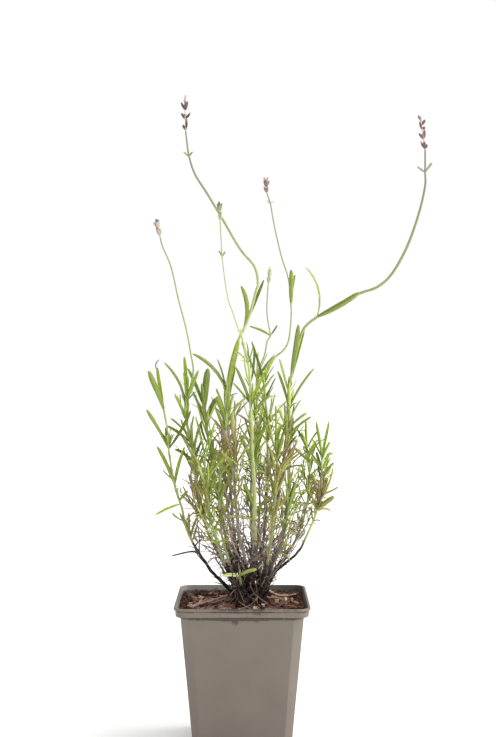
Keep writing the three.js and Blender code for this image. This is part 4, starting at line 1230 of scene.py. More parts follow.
def downy_calyx(name, settings, low, high, rib):
    """Calyx in dense short down over dark ribs: matt, powdery along its edges, running from
    one colour at its foot to another at its mouth."""
    surface = {"Roughness": 0.75, "Sheen Roughness": 0.4, "Specular IOR Level": 0.25}
    material, node, shader = new_material(name, **surface, **{"Sheen Weight": settings.down})
    place, form, growth = where_on_plant(node)
    ridge, along, _ = node("SeparateXYZ", {"Vector": form}, out=None)
    tone = node("SeparateXYZ", {"Vector": growth}, out="X")
    mottle = node("TexNoise", {"Vector": place, "Scale": 900, "Detail": 4})
    swing = node("MapRange", (mottle, 0.3, 0.7, -0.45, 0.45))
    shift = node("Math", (along, swing), operation="ADD")
    lean = node("Math", (tone, 0.8, shift), operation="MULTIPLY_ADD")
    pick = node("Math", (lean, 0.4), operation="SUBTRACT")
    own = node("ValToRGB", {"Fac": pick}, stops=((0.05, low), (0.95, high)))
    much = node("Math", (ridge, 0.55), operation="MULTIPLY")
    ribbed = node("Mix", {"Factor": much, "A": own, "B": rgba(rib)}, clamp_factor=True, **BLEND)
    return finish_material(material, shader, ribbed, mottle, 0.4, 0.0003)


# Settings


def color_property(name, description, default):
    return FloatVectorProperty(
        name=name, description=description, subtype="COLOR", size=3, min=0, max=1, default=linear(default)
    )


def length_property(name, description, millimetres):
    return FloatProperty(name=name, description=description, unit="LENGTH", default=millimetres * MM)


def count_property(name, description, default, most):
    return IntProperty(
        name=name, description=description, subtype="UNSIGNED", default=default, min=0, max=most
    )


class PotSettings(bpy.types.PropertyGroup):
    plastic: color_property("Plastic", "Colour of the moulded pot", "#61574e")
    plastic_worn: color_property("Worn plastic", "Colour where the pot is scuffed", "#70675c")
    # Also the colour of the painted shade in the lines under the collar and the bead
    dust_and_shade: color_property("Peat dust", "Colour of dried peat on the pot, and of the painted shade under the collar and the bead", "#392d24")
    stain: color_property("Stained inside", "Colour of the walls inside", "#6a6b64")
    # Painted shade on the walls inside, darker to the right
    painted_shade_inside: color_property("Shaded inside", "Colour of the painted shade on the walls inside, to the right", "#232823")
    stain_pale: color_property("Pale inside", "Colour of the cleaner walls inside", "#9b9990")
    edge: length_property("Edge softness", "Width of the rounding on moulded edges", 0.35)


class SoilSettings(bpy.types.PropertyGroup):
    peat: color_property("Peat", "Colour of the soil", "#563d31")
    peat_dark: color_property("Wet peat", "Colour in the hollows of the soil", "#2a1a14")
    chip: color_property("Bark chips", "Usual colour of a bark chip", "#7b5a49")
    chip_pale: color_property("Pale chips", "Colour of the driest chips", "#c9a486")
    chips: count_property("Chips", "Number of bark chips", 420, 1500)
    crumbs: count_property("Crumbs", "Number of peat crumbs", 1300, 4000)
    ripple: length_property("Unevenness", "Height of the bumps in the soil", 1.3)


class WoodSettings(bpy.types.PropertyGroup):
    bark: color_property("Bark", "Usual colour of the bark", "#594c43")
    bark_dark: color_property("Dark bark", "Colour low in the crown", "#221812")
    bark_pale: color_property("Weathered bark", "Colour of the greyest bark", "#9a8e86")
    root: color_property("Root", "Colour of the root fibres", "#b2968b")
    flakes: count_property("Bark flakes", "Strips of bark on the stems", 220, 1000)
    strands: count_property("Bark strands", "Frayed fibres on the stems", 260, 900)
    fibres: count_property("Root fibres", "Fibres round the crown", 210, 600)


class LeafSettings(bpy.types.PropertyGroup):
    green: color_property("Green", "Colour of a full-grown leaf", "#778d24")
    young: color_property("Young green", "Colour of a young leaf", "#a9ba44")
    shade: color_property("Deep green", "Colour of the darkest leaves", "#415f12")
    rib: color_property("Midrib", "Colour of the midrib", "#a6b44e")
    edge: color_property("Edge", "Colour of the thin edge with light behind it", "#b3c34f")
    underside: color_property("Underside", "Colour of the downy underside", "#8d9f4e")
    stem: color_property("Stem", "Colour of the green stems", "#9aa55c")
    withered: color_property("Withered", "Colour that an old leaf turns", "#907f57")
    dry: color_property("Dry leaf", "Usual colour of a dry leaf", "#65564b")
    dry_mauve: color_property("Bleached leaf", "Colour of the palest dry leaves", "#8f7f79")
    thickness: length_property("Thickness", "Thickness of a leaf at its midrib", 0.34)


class HeadSettings(bpy.types.PropertyGroup):
    down: FloatProperty(
        name="Down",
        description="Strength of the pale down on the calyces",
        subtype="FACTOR",
        default=0.3,
        min=0,
        max=1,
    )


class StageSettings(bpy.types.PropertyGroup):
    floor: color_property("Floor", "Colour of the floor", "#f8f8f7")
    sky: FloatProperty(
        name="Room light",
        description="Strength of the light from all round",
        subtype="UNSIGNED",
        default=1,
        min=0,
    )
    side: FloatProperty(
        name="Side light",
        description="Strength of the soft light from the right",
        subtype="UNSIGNED",
        default=3.7,
    )


SETTINGS = dict(
    pot=PotSettings,
    soil=SoilSettings,
    wood=WoodSettings,
    leaf=LeafSettings,
    head=HeadSettings,
    stage=StageSettings,
)


class LavenderSettings(bpy.types.PropertyGroup):
    pot: PointerProperty(type=PotSettings)
    soil: PointerProperty(type=SoilSettings)
    wood: PointerProperty(type=WoodSettings)
    leaf: PointerProperty(type=LeafSettings)
    head: PointerProperty(type=HeadSettings)
    stage: PointerProperty(type=StageSettings)


# Pot

POT = dict(
    height=120, top_width=101, foot_width=79, wall=1.2, floor=2.4, top_cut=8.5, foot_cut=6.5, bulge=0.1
)

# Heights where the wall meets the collar outside and the ledge inside
COLLAR_FOOT, LEDGE_FOOT = 112.6, 113.0

# Collar: (height, width, corner), up the outside and then down the inside
COLLAR_OUTSIDE = (
    (COLLAR_FOOT, 105.6, 8.4), (113.3, 106.9, 9), (117.7, 107.3, 9.1),
    (118.1, 109.8, 10.3), (119.5, 110, 10.4), (120, 109.2, 10),
)
COLLAR_INSIDE = ((120, 105.7, 8.3), (115.4, 104.4, 7.6), (113.2, 97.35, 7.2))
CORNER_STEPS = 8

# The stained inside, which also wears painted shade, runs from the floor up to a height on the
# collar, and out to a reach
STAIN_FROM, STAIN_TO, STAIN_REACH = 3, 117, 53.3


def square_ring(width, corner, bulge):
    """A square whose corners are cut, or rounded where bulge is 1."""
    middle = width / 2 - corner
    points = []
    for quarter in range(4):
        turn = quarter * math.pi / 2
        for step in range(CORNER_STEPS + 1):
            share = step / CORNER_STEPS
            cut = np.array((middle + corner * (1 - share), middle + corner * share))
            angle = share * math.pi / 2
            rounded = np.array((math.cos(angle), math.sin(angle))) * corner + middle
            x, y = mix(cut, rounded, bulge)
            c, s = math.cos(turn), math.sin(turn)
            points.append((x * c - y * s, x * s + y * c))
    return points


def wall_ring(z, inset=0.0):
    share = z / POT["height"]
    width = mix(POT["foot_width"], POT["top_width"], share) - 2 * inset
    return square_ring(width, mix(POT["foot_cut"], POT["top_cut"], share), POT["bulge"])


def shell_from_rings(stations):
    """A closed shell: one ring of edges, extruded through every station and filled at both ends."""
    bm = bmesh.new()
    (z, ring), *others = stations
    verts = [bm.verts.new((x, y, z)) for x, y in ring]
    edges = [bm.edges.new((verts[k - 1], verts[k])) for k in range(len(verts))]
    bmesh.ops.contextual_create(bm, geom=edges)
    for z, ring in others:
        made = bmesh.ops.extrude_edge_only(bm, edges=edges)["geom"]
        edges = [g for g in made if isinstance(g, bmesh.types.BMEdge)]
        new = [g for g in made if isinstance(g, bmesh.types.BMVert)]
        # Each new point stands on the old one, so that it knows its own place in the ring
        old = {tuple(round(c, 5) for c in v.co): k for k, v in enumerate(verts)}
        new.sort(key=lambda v: old[tuple(round(c, 5) for c in v.co)])
        for vert, (x, y) in zip(new, ring):
            vert.co = (x, y, z)
        verts = new
    bmesh.ops.contextual_create(bm, geom=edges)
    bmesh.ops.recalc_face_normals(bm, faces=bm.faces[:])
    return bm


def pot_stations():
    outside = [(0, wall_ring(0, 0.5)), *((z, wall_ring(z)) for z in (0.5, 60, COLLAR_FOOT))]
    collar = [(z, square_ring(width, corner, 1)) for z, width, corner in COLLAR_OUTSIDE + COLLAR_INSIDE]
    inside = [(z, wall_ring(z, POT["wall"])) for z in (LEDGE_FOOT, POT["floor"])]
    return outside + collar + inside


def upright_cutter(bm, radius, low, high, x, y, sides=24):
    size = dict(segments=sides, radius1=radius, radius2=radius, depth=high - low)
    made = bmesh.ops.create_cone(bm, cap_ends=True, **size)
    bmesh.ops.translate(bm, verts=made["verts"], vec=(x, y, (low + high) / 2))


def block_cutter(bm, width, depth, low, high):
    made = bmesh.ops.create_cube(bm, size=1)
    bmesh.ops.scale(bm, verts=made["verts"], vec=(width, depth, high - low))
    bmesh.ops.translate(bm, verts=made["verts"], vec=(0, 0, (low + high) / 2))


def carve(piece, bm, operation="DIFFERENCE"):
    """Cuts a shape out of a piece, or joins it on."""
    bmesh.ops.recalc_face_normals(bm, faces=bm.faces[:])
    tool = mesh_of(bm, "tool")
    cutter = bpy.data.objects.new("tool", tool)
    bpy.context.scene.collection.objects.link(cutter)
    modifier = piece.modifiers.new("openings", "BOOLEAN")
    modifier.operation = operation
    modifier.solver = "EXACT"
    modifier.object = cutter
    shaped = bpy.data.meshes.new_from_object(piece.evaluated_get(bpy.context.evaluated_depsgraph_get()))
    piece.modifiers.clear()
    piece.data, worn = shaped, piece.data
    bpy.data.meshes.remove(worn)
    bpy.data.objects.remove(cutter)
    bpy.data.meshes.remove(tool)


def make_pot(settings):
    bm = shell_from_rings(pot_stations())
    shared = [e for e in bm.edges if len(e.link_faces) == 2 and e.verts[0].co.z > 0.2]
    bmesh.ops.bevel(
        bm,
        geom=[e for e in shared if e.calc_face_angle() > math.radians(20)],
        offset=settings.edge / MM,
        segments=2,
        profile=0.5,
        affect="EDGES",
        material=-1,
        clamp_overlap=True,
    )
    pot = new_piece("nursery_pot", mesh_of(bm, "nursery_pot"), "pot_plastic")

    # The floor is raised between the foot band and the middle pad, with a notch under each side
    for width, depth in ((63, 63), (84, 10), (10, 84)):
        tool = bmesh.new()
        block_cutter(tool, width, depth, -1, 1)
        carve(pot, tool)
    tool = bmesh.new()
    upright_cutter(tool, 14, 0, 1.5, 0, 0, 48)
    carve(pot, tool, "UNION")
    tool = bmesh.new()
    for quarter in range(4):
        for radius, reach, angle in ((4.5, 22 * math.sqrt(2), math.pi / 4), (3, 25, 0)):
            turn = quarter * math.pi / 2 + angle
            upright_cutter(tool, radius, -1, 4, reach * math.cos(turn), reach * math.sin(turn))
    carve(pot, tool)
    pot.data.materials.clear()
    pot.data.materials.append(moulded_polypropylene("Moulded polypropylene", settings))
    # The inside is stained, and wears painted shade to the right and, with peat dust, towards the soil
    pot.data.materials.append(moulded_polypropylene("Stained polypropylene", settings, inside=True))
    for face in pot.data.polygons:
        middle, normal = face.center, face.normal
        reach = max(abs(middle.x), abs(middle.y))
        facing_in = normal.x * middle.x + normal.y * middle.y < -0.3 * reach
        ledge = middle.z < STAIN_TO * MM and normal.z > 0.3
        if middle.z > STAIN_FROM * MM and reach < STAIN_REACH * MM and (facing_in or ledge):
            face.material_index = 1
    pot.data.shade_smooth()
    pot.data.set_sharp_from_angle(angle=math.radians(32))
    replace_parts(pot, "pot")


# Soil


SOIL_LEVEL, SOIL_FOOT = 110.8, 2.8

# Both walls of the pot with the gaps beside the soil, and how much narrower its foot is
SOIL_INSET, SOIL_TAPER = 3.12, 0.794


def soil_height(x, y):
    wave = np.sin(0.21 * x + 1.3) * np.cos(0.17 * y) + np.sin(0.13 * x - 0.24 * y)
    mound = 2.4 * np.exp(-((x - CROWN["x"]) ** 2 + (y - CROWN["y"]) ** 2) / 420)
    return SOIL_LEVEL + 1.1 * wave / 2 + mound


def make_soil(settings):
    share = SOIL_LEVEL / POT["height"]
    width = mix(POT["foot_width"], POT["top_width"], share) - SOIL_INSET
    cut = mix(POT["foot_cut"], POT["top_cut"], share)
    bm = bmesh.new()
    bmesh.ops.create_grid(bm, x_segments=88, y_segments=88, size=52)
    for quarter in range(4):
        for angle, reach in ((0, width / 2), (math.pi / 4, (width - cut) / math.sqrt(2))):
            turn = quarter * math.pi / 2 + angle
            normal = Vector((math.cos(turn), math.sin(turn), 0))
            whole = bm.verts[:] + bm.edges[:] + bm.faces[:]
            bmesh.ops.bisect_plane(
                bm, geom=whole, plane_co=normal * reach, plane_no=normal, clear_outer=True
            )
    ripple = settings.ripple / MM
    for vert in bm.verts:
        x, y, _ = vert.co
        vert.co.z = soil_height(x, y) + ripple * noise.fractal(Vector((x, y, 0)) * 0.32, 0.6, 2.2, 4)
    rim = [e for e in bm.edges if e.is_boundary]
    made = bmesh.ops.extrude_edge_only(bm, edges=rim)["geom"]
    foot = [g for g in made if isinstance(g, bmesh.types.BMVert)]
    for vert in foot:
        vert.co = (vert.co.x * SOIL_TAPER, vert.co.y * SOIL_TAPER, SOIL_FOOT)
    bmesh.ops.contextual_create(bm, geom=[g for g in made if isinstance(g, bmesh.types.BMEdge)])
    bmesh.ops.recalc_face_normals(bm, faces=bm.faces[:])
    mesh = mesh_of(bm, "soil_bed")
    mesh.shade_smooth()
    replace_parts(new_piece("soil_bed", mesh, "soil", damp_peat(settings)), "soil")


def turned_box(rng, size, tilt):
    """Three directions of a block lying at a tilt, scaled to its half sizes."""
    (a, b), (c, d), (e, f) = (
        (math.cos(angle), math.sin(angle))
        for angle in (rng.uniform(0, 2 * math.pi), rng.normal(0, tilt), rng.normal(0, tilt))
    )
    spin = np.array(((a, -b, 0), (b, a, 0), (0, 0, 1)))
    lean = np.array(((c, 0, d), (0, 1, 0), (-d, 0, c)))
    roll = np.array(((1, 0, 0), (0, e, -f), (0, f, e)))
    return (spin @ lean @ roll) * np.asarray(size)


def place_in_pot(rng, reach):
    """A place on the soil, inside the pot's cut corners and outside the crown."""
    while True:
        x, y = rng.uniform(-reach, reach, 2)
        if abs(x) + abs(y) < 84 and math.hypot(x - CROWN["x"], y - CROWN["y"]) > CROWN["radius"] - 1:
            return x, y


def place_on_ledge(rng):
    """A place on the ledge inside the collar, with its height."""
    reach = 47.6 + 4.4 * rng.beta(1, 1.7)
    along = rng.uniform(-47, 47)
    beside = rng.random() < 0.5
    out = reach * rng.choice((-1, 1))
    x, y = (out, along) if beside else (along, out)
    return x, y, float(np.interp(reach, (47.6, 48.7, 52.2), (112.2, 113.2, 115.4)))


# Chips that stand out: place, size and tone
LOOSE_CHIPS = (
    (29, 6, 115, (3.4, 2.6, 2.2), 0.88), (36, 5, 115.6, (2.4, 2, 5), 0.95),
    (42, 9, 115.2, (2, 1.6, 3.6), 0.9), (21, 6, 115.6, (4.4, 3.4, 4.4), 0.4),
    (16, -9, 114.6, (4.6, 2.6, 1.4), 1), (33, 14, 114.4, (4, 2.6, 2), 0.75),
    (-26, 12, 114.5, (4.4, 3.4, 3), 0.82), (-35, 4, 114.6, (4, 2.8, 2), 0.9),
    (-14, 18, 115.2, (5, 3.6, 3.4), 0.74), (45, -2, 114.5, (4, 3, 2.4), 0.7),
    (-40, 16, 114.2, (5, 3, 2), 0.72), (27, 24, 114.4, (5, 3.4, 2.4), 0.66),
)


def make_chips(settings):
    rng = generator("chips")
    clump, blank = Clump(), chip_blank()
    for _ in range(settings.chips):
        length = rng.gamma(5, 0.9) + 1.6
        size = (length / 2, length * rng.uniform(0.2, 0.42), rng.uniform(0.35, 1.1))
        x, y = place_in_pot(rng, 46.3 - length / 2)
        box = turned_box(rng, size, 0.28)
        rough = blank.points * (1 + rng.normal(0, 0.14, (len(blank.points), 1)))
        rough = rough + rng.normal(0, 0.1, blank.points.shape)
        points = rough @ box.T + (x, y, soil_height(x, y) + size[2] * 0.5 + rng.uniform(0, 1.2))
        # Darker to the right
        tone = rng.beta(2.1, 1.9) - 0.16 * smooth((x - 5) / 30)
        clump.add(blank, points, blank.points, max(0, float(tone)))
    for _ in range(settings.chips // 4):
        x, y, z = place_on_ledge(rng)
        size = (rng.uniform(0.8, 2.2), rng.uniform(0.5, 0.9), rng.uniform(0.3, 0.6))
        points = blank.points @ turned_box(rng, size, 0.35).T + (x * 0.985, y * 0.985, z + 0.5)
        clump.add(blank, points, blank.points, float(rng.beta(2.1, 2.4)))
    for x, y, z, size, tone in LOOSE_CHIPS:
        points = blank.points @ turned_box(rng, np.array(size) / 2, 0.25).T + (x, y, z)
        clump.add(blank, points, blank.points, tone)
    clump.piece("bark_chips", "soil", chipped_bark("Composted pine bark", settings), smooth=False)

    clump, blank = Clump(), crumb_blank()
    for _ in range(settings.crumbs):
        radius = rng.gamma(3, 0.17) + 0.22
        x, y = place_in_pot(rng, 46.6)
        box = turned_box(rng, (radius * rng.uniform(0.8, 1.6), radius, radius * 0.8), 0.8)
        rough = blank.points * (1 + rng.normal(0, 0.2, (len(blank.points), 1)))
        points = rough @ box.T + (x, y, soil_height(x, y) + radius * 0.4 + rng.uniform(0, 0.8))
        clump.add(blank, points, blank.points, float(rng.beta(1.6, 3.2)))
    for _ in range(settings.crumbs * 2):
        x, y, z = place_on_ledge(rng)
        radius = rng.gamma(3, 0.13) + 0.15
        box = turned_box(rng, (radius * 1.3, radius, radius * 0.7), 0.8)
        points = blank.points @ box.T + (x, y, z + radius * 0.3)
        clump.add(blank, points, blank.points, float(rng.beta(1.4, 4)))
    clump.piece("peat_crumbs", "soil", chipped_bark("Peat crumbs", settings), smooth=False)


# Wood


def bark_stops(settings):
    return [(0.05, settings.bark_dark), (0.45, settings.bark), (0.75, settings.bark_pale), (1, "#b9ada2")]


def crown_stubs():
    draw = random_stream(PLANT_SEED + 200)
    for k in range(CROWN["stubs"]):
        azimuth = 360 * k / CROWN["stubs"] + spread(draw, 14)
        reach = between(draw, (5, 9))
        x = CROWN["x"] + reach * math.cos(math.radians(azimuth))
        y = CROWN["y"] + reach * math.sin(math.radians(azimuth))
        length = between(draw, CROWN["stub_length"])
        seat = Station(np.array((x, y, 114.0)), np.array((0.0, 0.0, 1.0)), 2)
        yield leaf_by_splay(seat, azimuth, between(draw, CROWN["stub_splay"]), length, -0.5, 2, 0)


def crown_core(clump, rng):
    """The fused foot of all the stems: a lumpy post with deep folds, ragged at its top."""
    profile = (
        (9, 104), (12, 108), (13.2, 112.5), (13, 115), (12.2, 118), (10, 121), (6.5, 123.6), (1.5, 124.6),
    )
    sides = 30
    blank = tube(sides, len(profile))
    angles = np.arange(sides) * 2 * np.pi / sides
    folds = 0.1 * np.sin(5 * angles + 0.6) + 0.07 * np.sin(9 * angles + 2) + rng.normal(0, 0.05, sides)
    grid = np.zeros((len(profile), sides, 3))
    for k, (radius, z) in enumerate(profile):
        reach = radius * (1 + folds + rng.normal(0, 0.04, sides))
        grid[k, :, 0] = CROWN["x"] + reach * np.cos(angles)
        grid[k, :, 1] = CROWN["y"] + reach * np.sin(angles)
        grid[k, :, 2] = z + rng.normal(0, 0.5, sides)
    points, thrice = grid[blank.ring, blank.side], (angles * 3)[blank.side]
    form = np.column_stack([np.cos(thrice) * 4, points[:, 2], np.sin(thrice) * 4])
    clump.add(blank, points, form, 0.08)
    # Dark roots that spread from it into the soil
    for k in range(26):
        out, side = level(math.radians(360 * k / 26 + rng.normal(0, 7)))
        foot = rng.uniform(16, 21) + 4 * max(0, -out[0])
        shares = np.linspace(0, 1, 9)[:, None]
        centres = np.array((CROWN["x"], CROWN["y"], 0)) + out * mix(7.5, foot, shares**0.8)
        centres += side * np.sin(shares * rng.uniform(3, 8)) * rng.normal(0, 1.2)
        centres[:, 2] = mix(rng.uniform(117, 128), 112.2, shares[:, 0] ** rng.uniform(0.55, 1.1))
        radii = np.linspace(1, 0.5, 9) * rng.uniform(0.5, 1.5)
        limb(clump, centres, radii, rng.uniform(0.1, 0.5), sides=6, rough=0.1, rng=rng)


def make_wood(settings, shoots):
    rng = generator("wood")
    clump = Clump()
    crown_core(clump, rng)
    for stub in crown_stubs():
        shares = np.linspace(0, 1, 6)
        tone = rng.uniform(0.1, 0.5)
        limb(clump, stub.at(shares), mix(2.0, 0.9, shares), tone, sides=6, rough=0.13, rng=rng)
    for shoot in shoots:
        centres = route_points(shoot.points, 0, shoot.split, 3.2)
        shares = np.linspace(0, 1, len(centres))
        centres[1:-1] += rng.normal(0, 0.16, centres[1:-1].shape)
        slim = float(np.interp(abs(shoot.wood[-1].point[0] - 2), (22, 34), (0.95, 0.76)))
        radii = shoot.wood_radius(shares) * slim
        tone = 0.12 if shoot.name == "low_front" else rng.uniform(0.3, 0.6)
        limb(clump, centres, radii, tone, sides=8, rough=0.08, rng=rng)
    shares = np.linspace(0, 1, 9)
    twig = np.array([route_at(np.array(BARE_TWIG["points"], float), t) for t in shares])
    limb(clump, twig, BARE_TWIG["radius"] * (1.3 - 0.5 * shares), 0.55, sides=5, rough=0.1, rng=rng)
    bark = streaked("Weathered lavender bark", bark_stops(settings))
    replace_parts(clump.piece("crown_and_branches", "bark", bark), "woody_base")

    clump = Clump()
    for shoot in shoots:
        for k, twig in enumerate(shoot.twigs + shoot.dry_twigs):
            shares = np.linspace(0, 1, 9)
            centres = twig.at(shares)
            centres[1:] += rng.normal(0, 0.35, centres[1:].shape)
            girth = 0.9 if k < len(shoot.twigs) else 0.62
            radii = mix(TWIG["base"], TWIG["tip"], shares) * girth
            limb(clump, centres, radii, rng.uniform(0.45, 0.95), sides=5, rough=0.1, rng=rng)
    clump.piece("dry_twigs", "bark", streaked("Dry lavender twig", bark_stops(settings), mottle=0.4))

    make_flakes(settings, shoots, rng)


def make_flakes(settings, shoots, rng):
    """Strips of bark that peel from the stems, and the stringy fibres that they fray into."""
    clump = Clump()
    for _ in range(settings.flakes):
        shoot = shoots[rng.integers(len(shoots))]
        seat = seat_on(shoot.wood, rng.uniform(0.25, 0.99) * (len(shoot.wood) - 1))
        form = (rng.uniform(3, 9), rng.normal(0.2, 0.5), rng.uniform(0.5, 1.3), rng.normal(0, 30))
        strip = leaf_by_splay(seat, rng.uniform(0, 360), rng.uniform(1, 14), *form)
        strip.base = strip.base + strip.out * seat.radius * 0.6
        leaf_blade(clump, strip, rng.uniform(0.15, 0.8), rng, small=True, thickness=0.2)
    for _ in range(settings.strands):
        shoot = shoots[rng.integers(len(shoots))]
        first = rng.uniform(0.02, 0.75) * (len(shoot.wood) - 1)
        last = min(first + rng.uniform(0.25, 0.7), len(shoot.wood) - 1)
        shares = np.linspace(0, 1, 10)
        seats = [seat_on(shoot.wood, mix(first, last, share)) for share in shares]
        right, back = frame_of(seats[0].along)
        out, _ = turned(right, back, rng.uniform(0, 2 * math.pi))
        side = np.cross(seats[0].along, out)
        wave = np.sin(shares * rng.uniform(3, 9) + rng.uniform(0, 6)) * rng.uniform(0.3, 1.5)
        lift = 1.1 + np.sin(np.pi * shares) * rng.uniform(-0.1, 1.3)
        centres = np.array([seat.point for seat in seats]) + out * (seats[0].radius * lift)[:, None]
        centres += side * wave[:, None]
        radius = rng.uniform(0.14, 0.34)
        limb(clump, centres, np.linspace(radius, radius * 0.6, 10), rng.uniform(0.1, 0.9), sides=4)
    peeling = streaked("Peeling lavender bark", bark_stops(settings), streak=2.2, run=3)
    clump.piece("bark_flakes", "bark", peeling)


# Roots: radius, tone and route. A pale one lies on the soil at the front left, another forks
# off it, and a loop stands at the back right.
LAID_ROOTS = (
    (0.85, 0.95, (-43, -14, 113.8), (-36, -9, 115.4), (-29, -4, 116.4), (-21, 0, 118.2), (-12, 2, 121)),
    (0.7, 0.85, (-41, -16, 114), (-37, -6, 115.4), (-31, 0, 116.6), (-24, 3, 115.4)),
    (0.45, 0.75, (-30, -5, 116), (-26, -8, 117), (-20, -8, 117.6), (-14, -7, 120)),
    (
        1.0, 0.9,
        (14, 10, 128), (19, 18, 123.6), (24, 26, 119.6), (29, 29, 116), (34, 30, 115), (41, 30, 115),
        (46.5, 30, 116.4),
    ),
    (0.6, 0.55, (15, 4, 121), (20, 10, 117.6), (26, 16, 115.8), (34, 20, 114.6)),
    (0.55, 0.66, (-6, -12, 123), (-4.5, -15, 120.6), (-1.2, -17, 117.6), (3, -18, 115), (8, -20, 113.6)),
    (0.55, 0.6, (14, -11, 126), (12, -15, 122), (8, -17, 117.8), (4, -18, 115), (-2, -21, 113.6)),
    (0.5, 0.55, (-12, -6, 121), (-15, -10, 117.6), (-19, -12, 115.6), (-25, -13, 114.4)),
)


def make_fibres(settings, shoots):
    """Root fibres that hang down the crown and lie about on the soil."""
    rng = generator("fibres")
    clump = Clump()
    # Frayed bast hangs from the stems before the crown in long waves
    tops = [(shoot, shoot.wood[-1].point) for shoot in shoots]
    near = [shoot for shoot, top in tops if top[1] < -6 and abs(top[0] - 6) < 22]
    for _ in range(settings.fibres // 6):
        shoot = near[rng.integers(len(near))]
        top = seat_on(shoot.wood, rng.uniform(0.6, 0.9) * (len(shoot.wood) - 1))
        shares = np.linspace(0, 1, 14)[:, None]
        foot = np.array((CROWN["x"] + rng.normal(0, 8), -11 - rng.uniform(0, 5), 113.5))
        centres = mix(top.point + (0, -top.radius * 0.9, 0), foot, shares)
        wave = np.sin(shares[:, 0] * rng.uniform(6, 18) + rng.uniform(0, 6))
        centres[:, 0] += wave * rng.uniform(0.8, 2.6)
        centres[:, 1] -= np.sin(shares[:, 0] * np.pi) * rng.uniform(0.5, 4)
        radii = np.linspace(0.2, 0.36, 14) * rng.uniform(0.8, 1.8)
        limb(clump, centres, radii, rng.beta(1.4, 2.4), sides=4)
    for _ in range(settings.fibres):
        low = rng.random() < 0.5
        out, side = level(rng.uniform(0, 2 * math.pi))
        count = 9
        shares = np.linspace(0, 1, count)[:, None]
        if low:
            # Most lie before the crown and to its left
            out[:2] = unit(out[:2] + (-0.45, -0.6))
            start = np.array((CROWN["x"], CROWN["y"], 0)) + out * rng.uniform(12, 36)
            length = rng.uniform(5, 15)
            run, _ = level(rng.uniform(0, 2 * math.pi))
            wave = np.sin(shares * rng.uniform(2, 5))
            centres = start + run * length * shares + side * wave * rng.normal(0, 2)
            arch = np.sin(np.pi * shares[:, 0]) * rng.uniform(0, 3)
            centres[:, 2] = soil_height(centres[:, 0], centres[:, 1]) + 1.7 + arch
            centres[:, :2] = np.clip(centres[:, :2], -45, 45)
            tone = rng.beta(2.4, 1.6)
        else:
            top = rng.uniform(114, 127)
            reach = rng.uniform(10, 13.5)
            start = np.array((CROWN["x"], CROWN["y"], top)) + out * reach * (0.8 if top > 120 else 1)
            drop = top - 111.5
            centres = start + np.column_stack([np.zeros((count, 2)), -drop * shares[:, 0]])
            centres += out * shares**2 * rng.uniform(0.5, 5)
            centres += side * np.sin(shares * rng.uniform(2, 8) + rng.uniform(0, 6)) * rng.uniform(0.4, 1.8)
            tone = rng.beta(1.3, 3.5)
        radius = rng.uniform(0.16, 0.38)
        limb(clump, centres, np.linspace(radius, radius * 0.5, count), tone, sides=4)
    for radius, tone, *points in LAID_ROOTS:
        centres = route_points(np.array(points, float), 0, len(points) - 1, 2.2)
        centres[1:-1] += rng.normal(0, 0.25, centres[1:-1].shape)
        radii = np.linspace(radius, radius * 0.7, len(centres))
        limb(clump, centres, radii, tone, sides=6, rough=0.08, rng=rng)
    stops = [(0.0, "#2a1e19"), (0.4, "#54453c"), (0.75, settings.root), (1, "#c4a999")]
    clump.piece("root_fibres", "bark", streaked("Dry root fibre", stops, mottle=0.3, low_dark_shift=0))


# Growth of the leaves


def turn_to_front(leaf, rng):
    """Turns a blade about its midrib, so that one of its faces shows from the front."""
    along = leaf.along(0.5)
    top = unit(np.cross(along, np.cross(leaf.forward, leaf.out)))
    side = np.cross(top, along)
    turn = math.degrees(math.atan2(-side[1], top[1]))
    turn -= 180 * round(turn / 180)
    leaf.turn = turn + rng.normal(0, 14 if leaf.width > 3.3 else 32)


def rust(leaf):
    """How far a leaf has browned for where it hangs."""
    x, _, z = leaf.at(0.5)
    return max(max(0, 1 - math.hypot(x - spot[0], z - spot[1]) / spot[2]) for spot in RUSTY)


def kept_in(tries):
    """The tries that end inside the plant's outline, a funnel that opens above the pot."""
    for leaf in tries:
        x, y, z = leaf.at(1.0)
        reach = 28 + (z - 130) * 0.68 if x < CROWN["x"] else 22 + (z - 130) * 0.62
        if abs(x - CROWN["x"]) < reach and -60 < y < 65:
            yield leaf


def wither(leaf, low, high, rng):
    """Ages a leaf by how low it stands: thinner, more curled and more twisted."""
    share = np.clip((high - leaf.base[2]) / (high - low) + rng.normal(0, 0.2), 0, 1)
    leaf.age = float(np.clip(max(share, rust(leaf) * rng.uniform(0.4, 1)), 0, 1))
    leaf.width *= 1 - 0.45 * share
    leaf.curl += rng.normal(0, 0.8) * leaf.age
    leaf.turn += rng.normal(0, 50) * leaf.age


def loose_form(rng, length, curl, widths, turn=60):
    """A leaf's form: its curl and turn vary about a mean, in degrees, and its width evenly."""
    return length, math.radians(rng.normal(*curl)), rng.uniform(*widths), rng.normal(0, turn)


def grow_upright(shoots, thicket):
    """Long leaves that stand close to the upper part of each shoot."""
    for shoot in shoots:
        rng = generator("upright", shoot.index)
        _, low, high, low_length, high_length = shoot.pairs
        for _ in range(habit(UPRIGHT, shoot)):
            share = rng.uniform(0.25, 0.95)
            seat = seat_at_height(shoot.stem, min(mix(low, high, share), rng.uniform(240, 300)))
            length = mix(low_length, high_length, share) * rng.uniform(0.8, 1.3)
            form = loose_form(rng, length, (6, 30), (1.5, 2.9))
            tries = turned_tries(seat, rng.uniform(0, 360), rng.uniform(9, 32), *form)
            shoot.upright += thicket.place(shoot.index, kept_in(tries), 0)


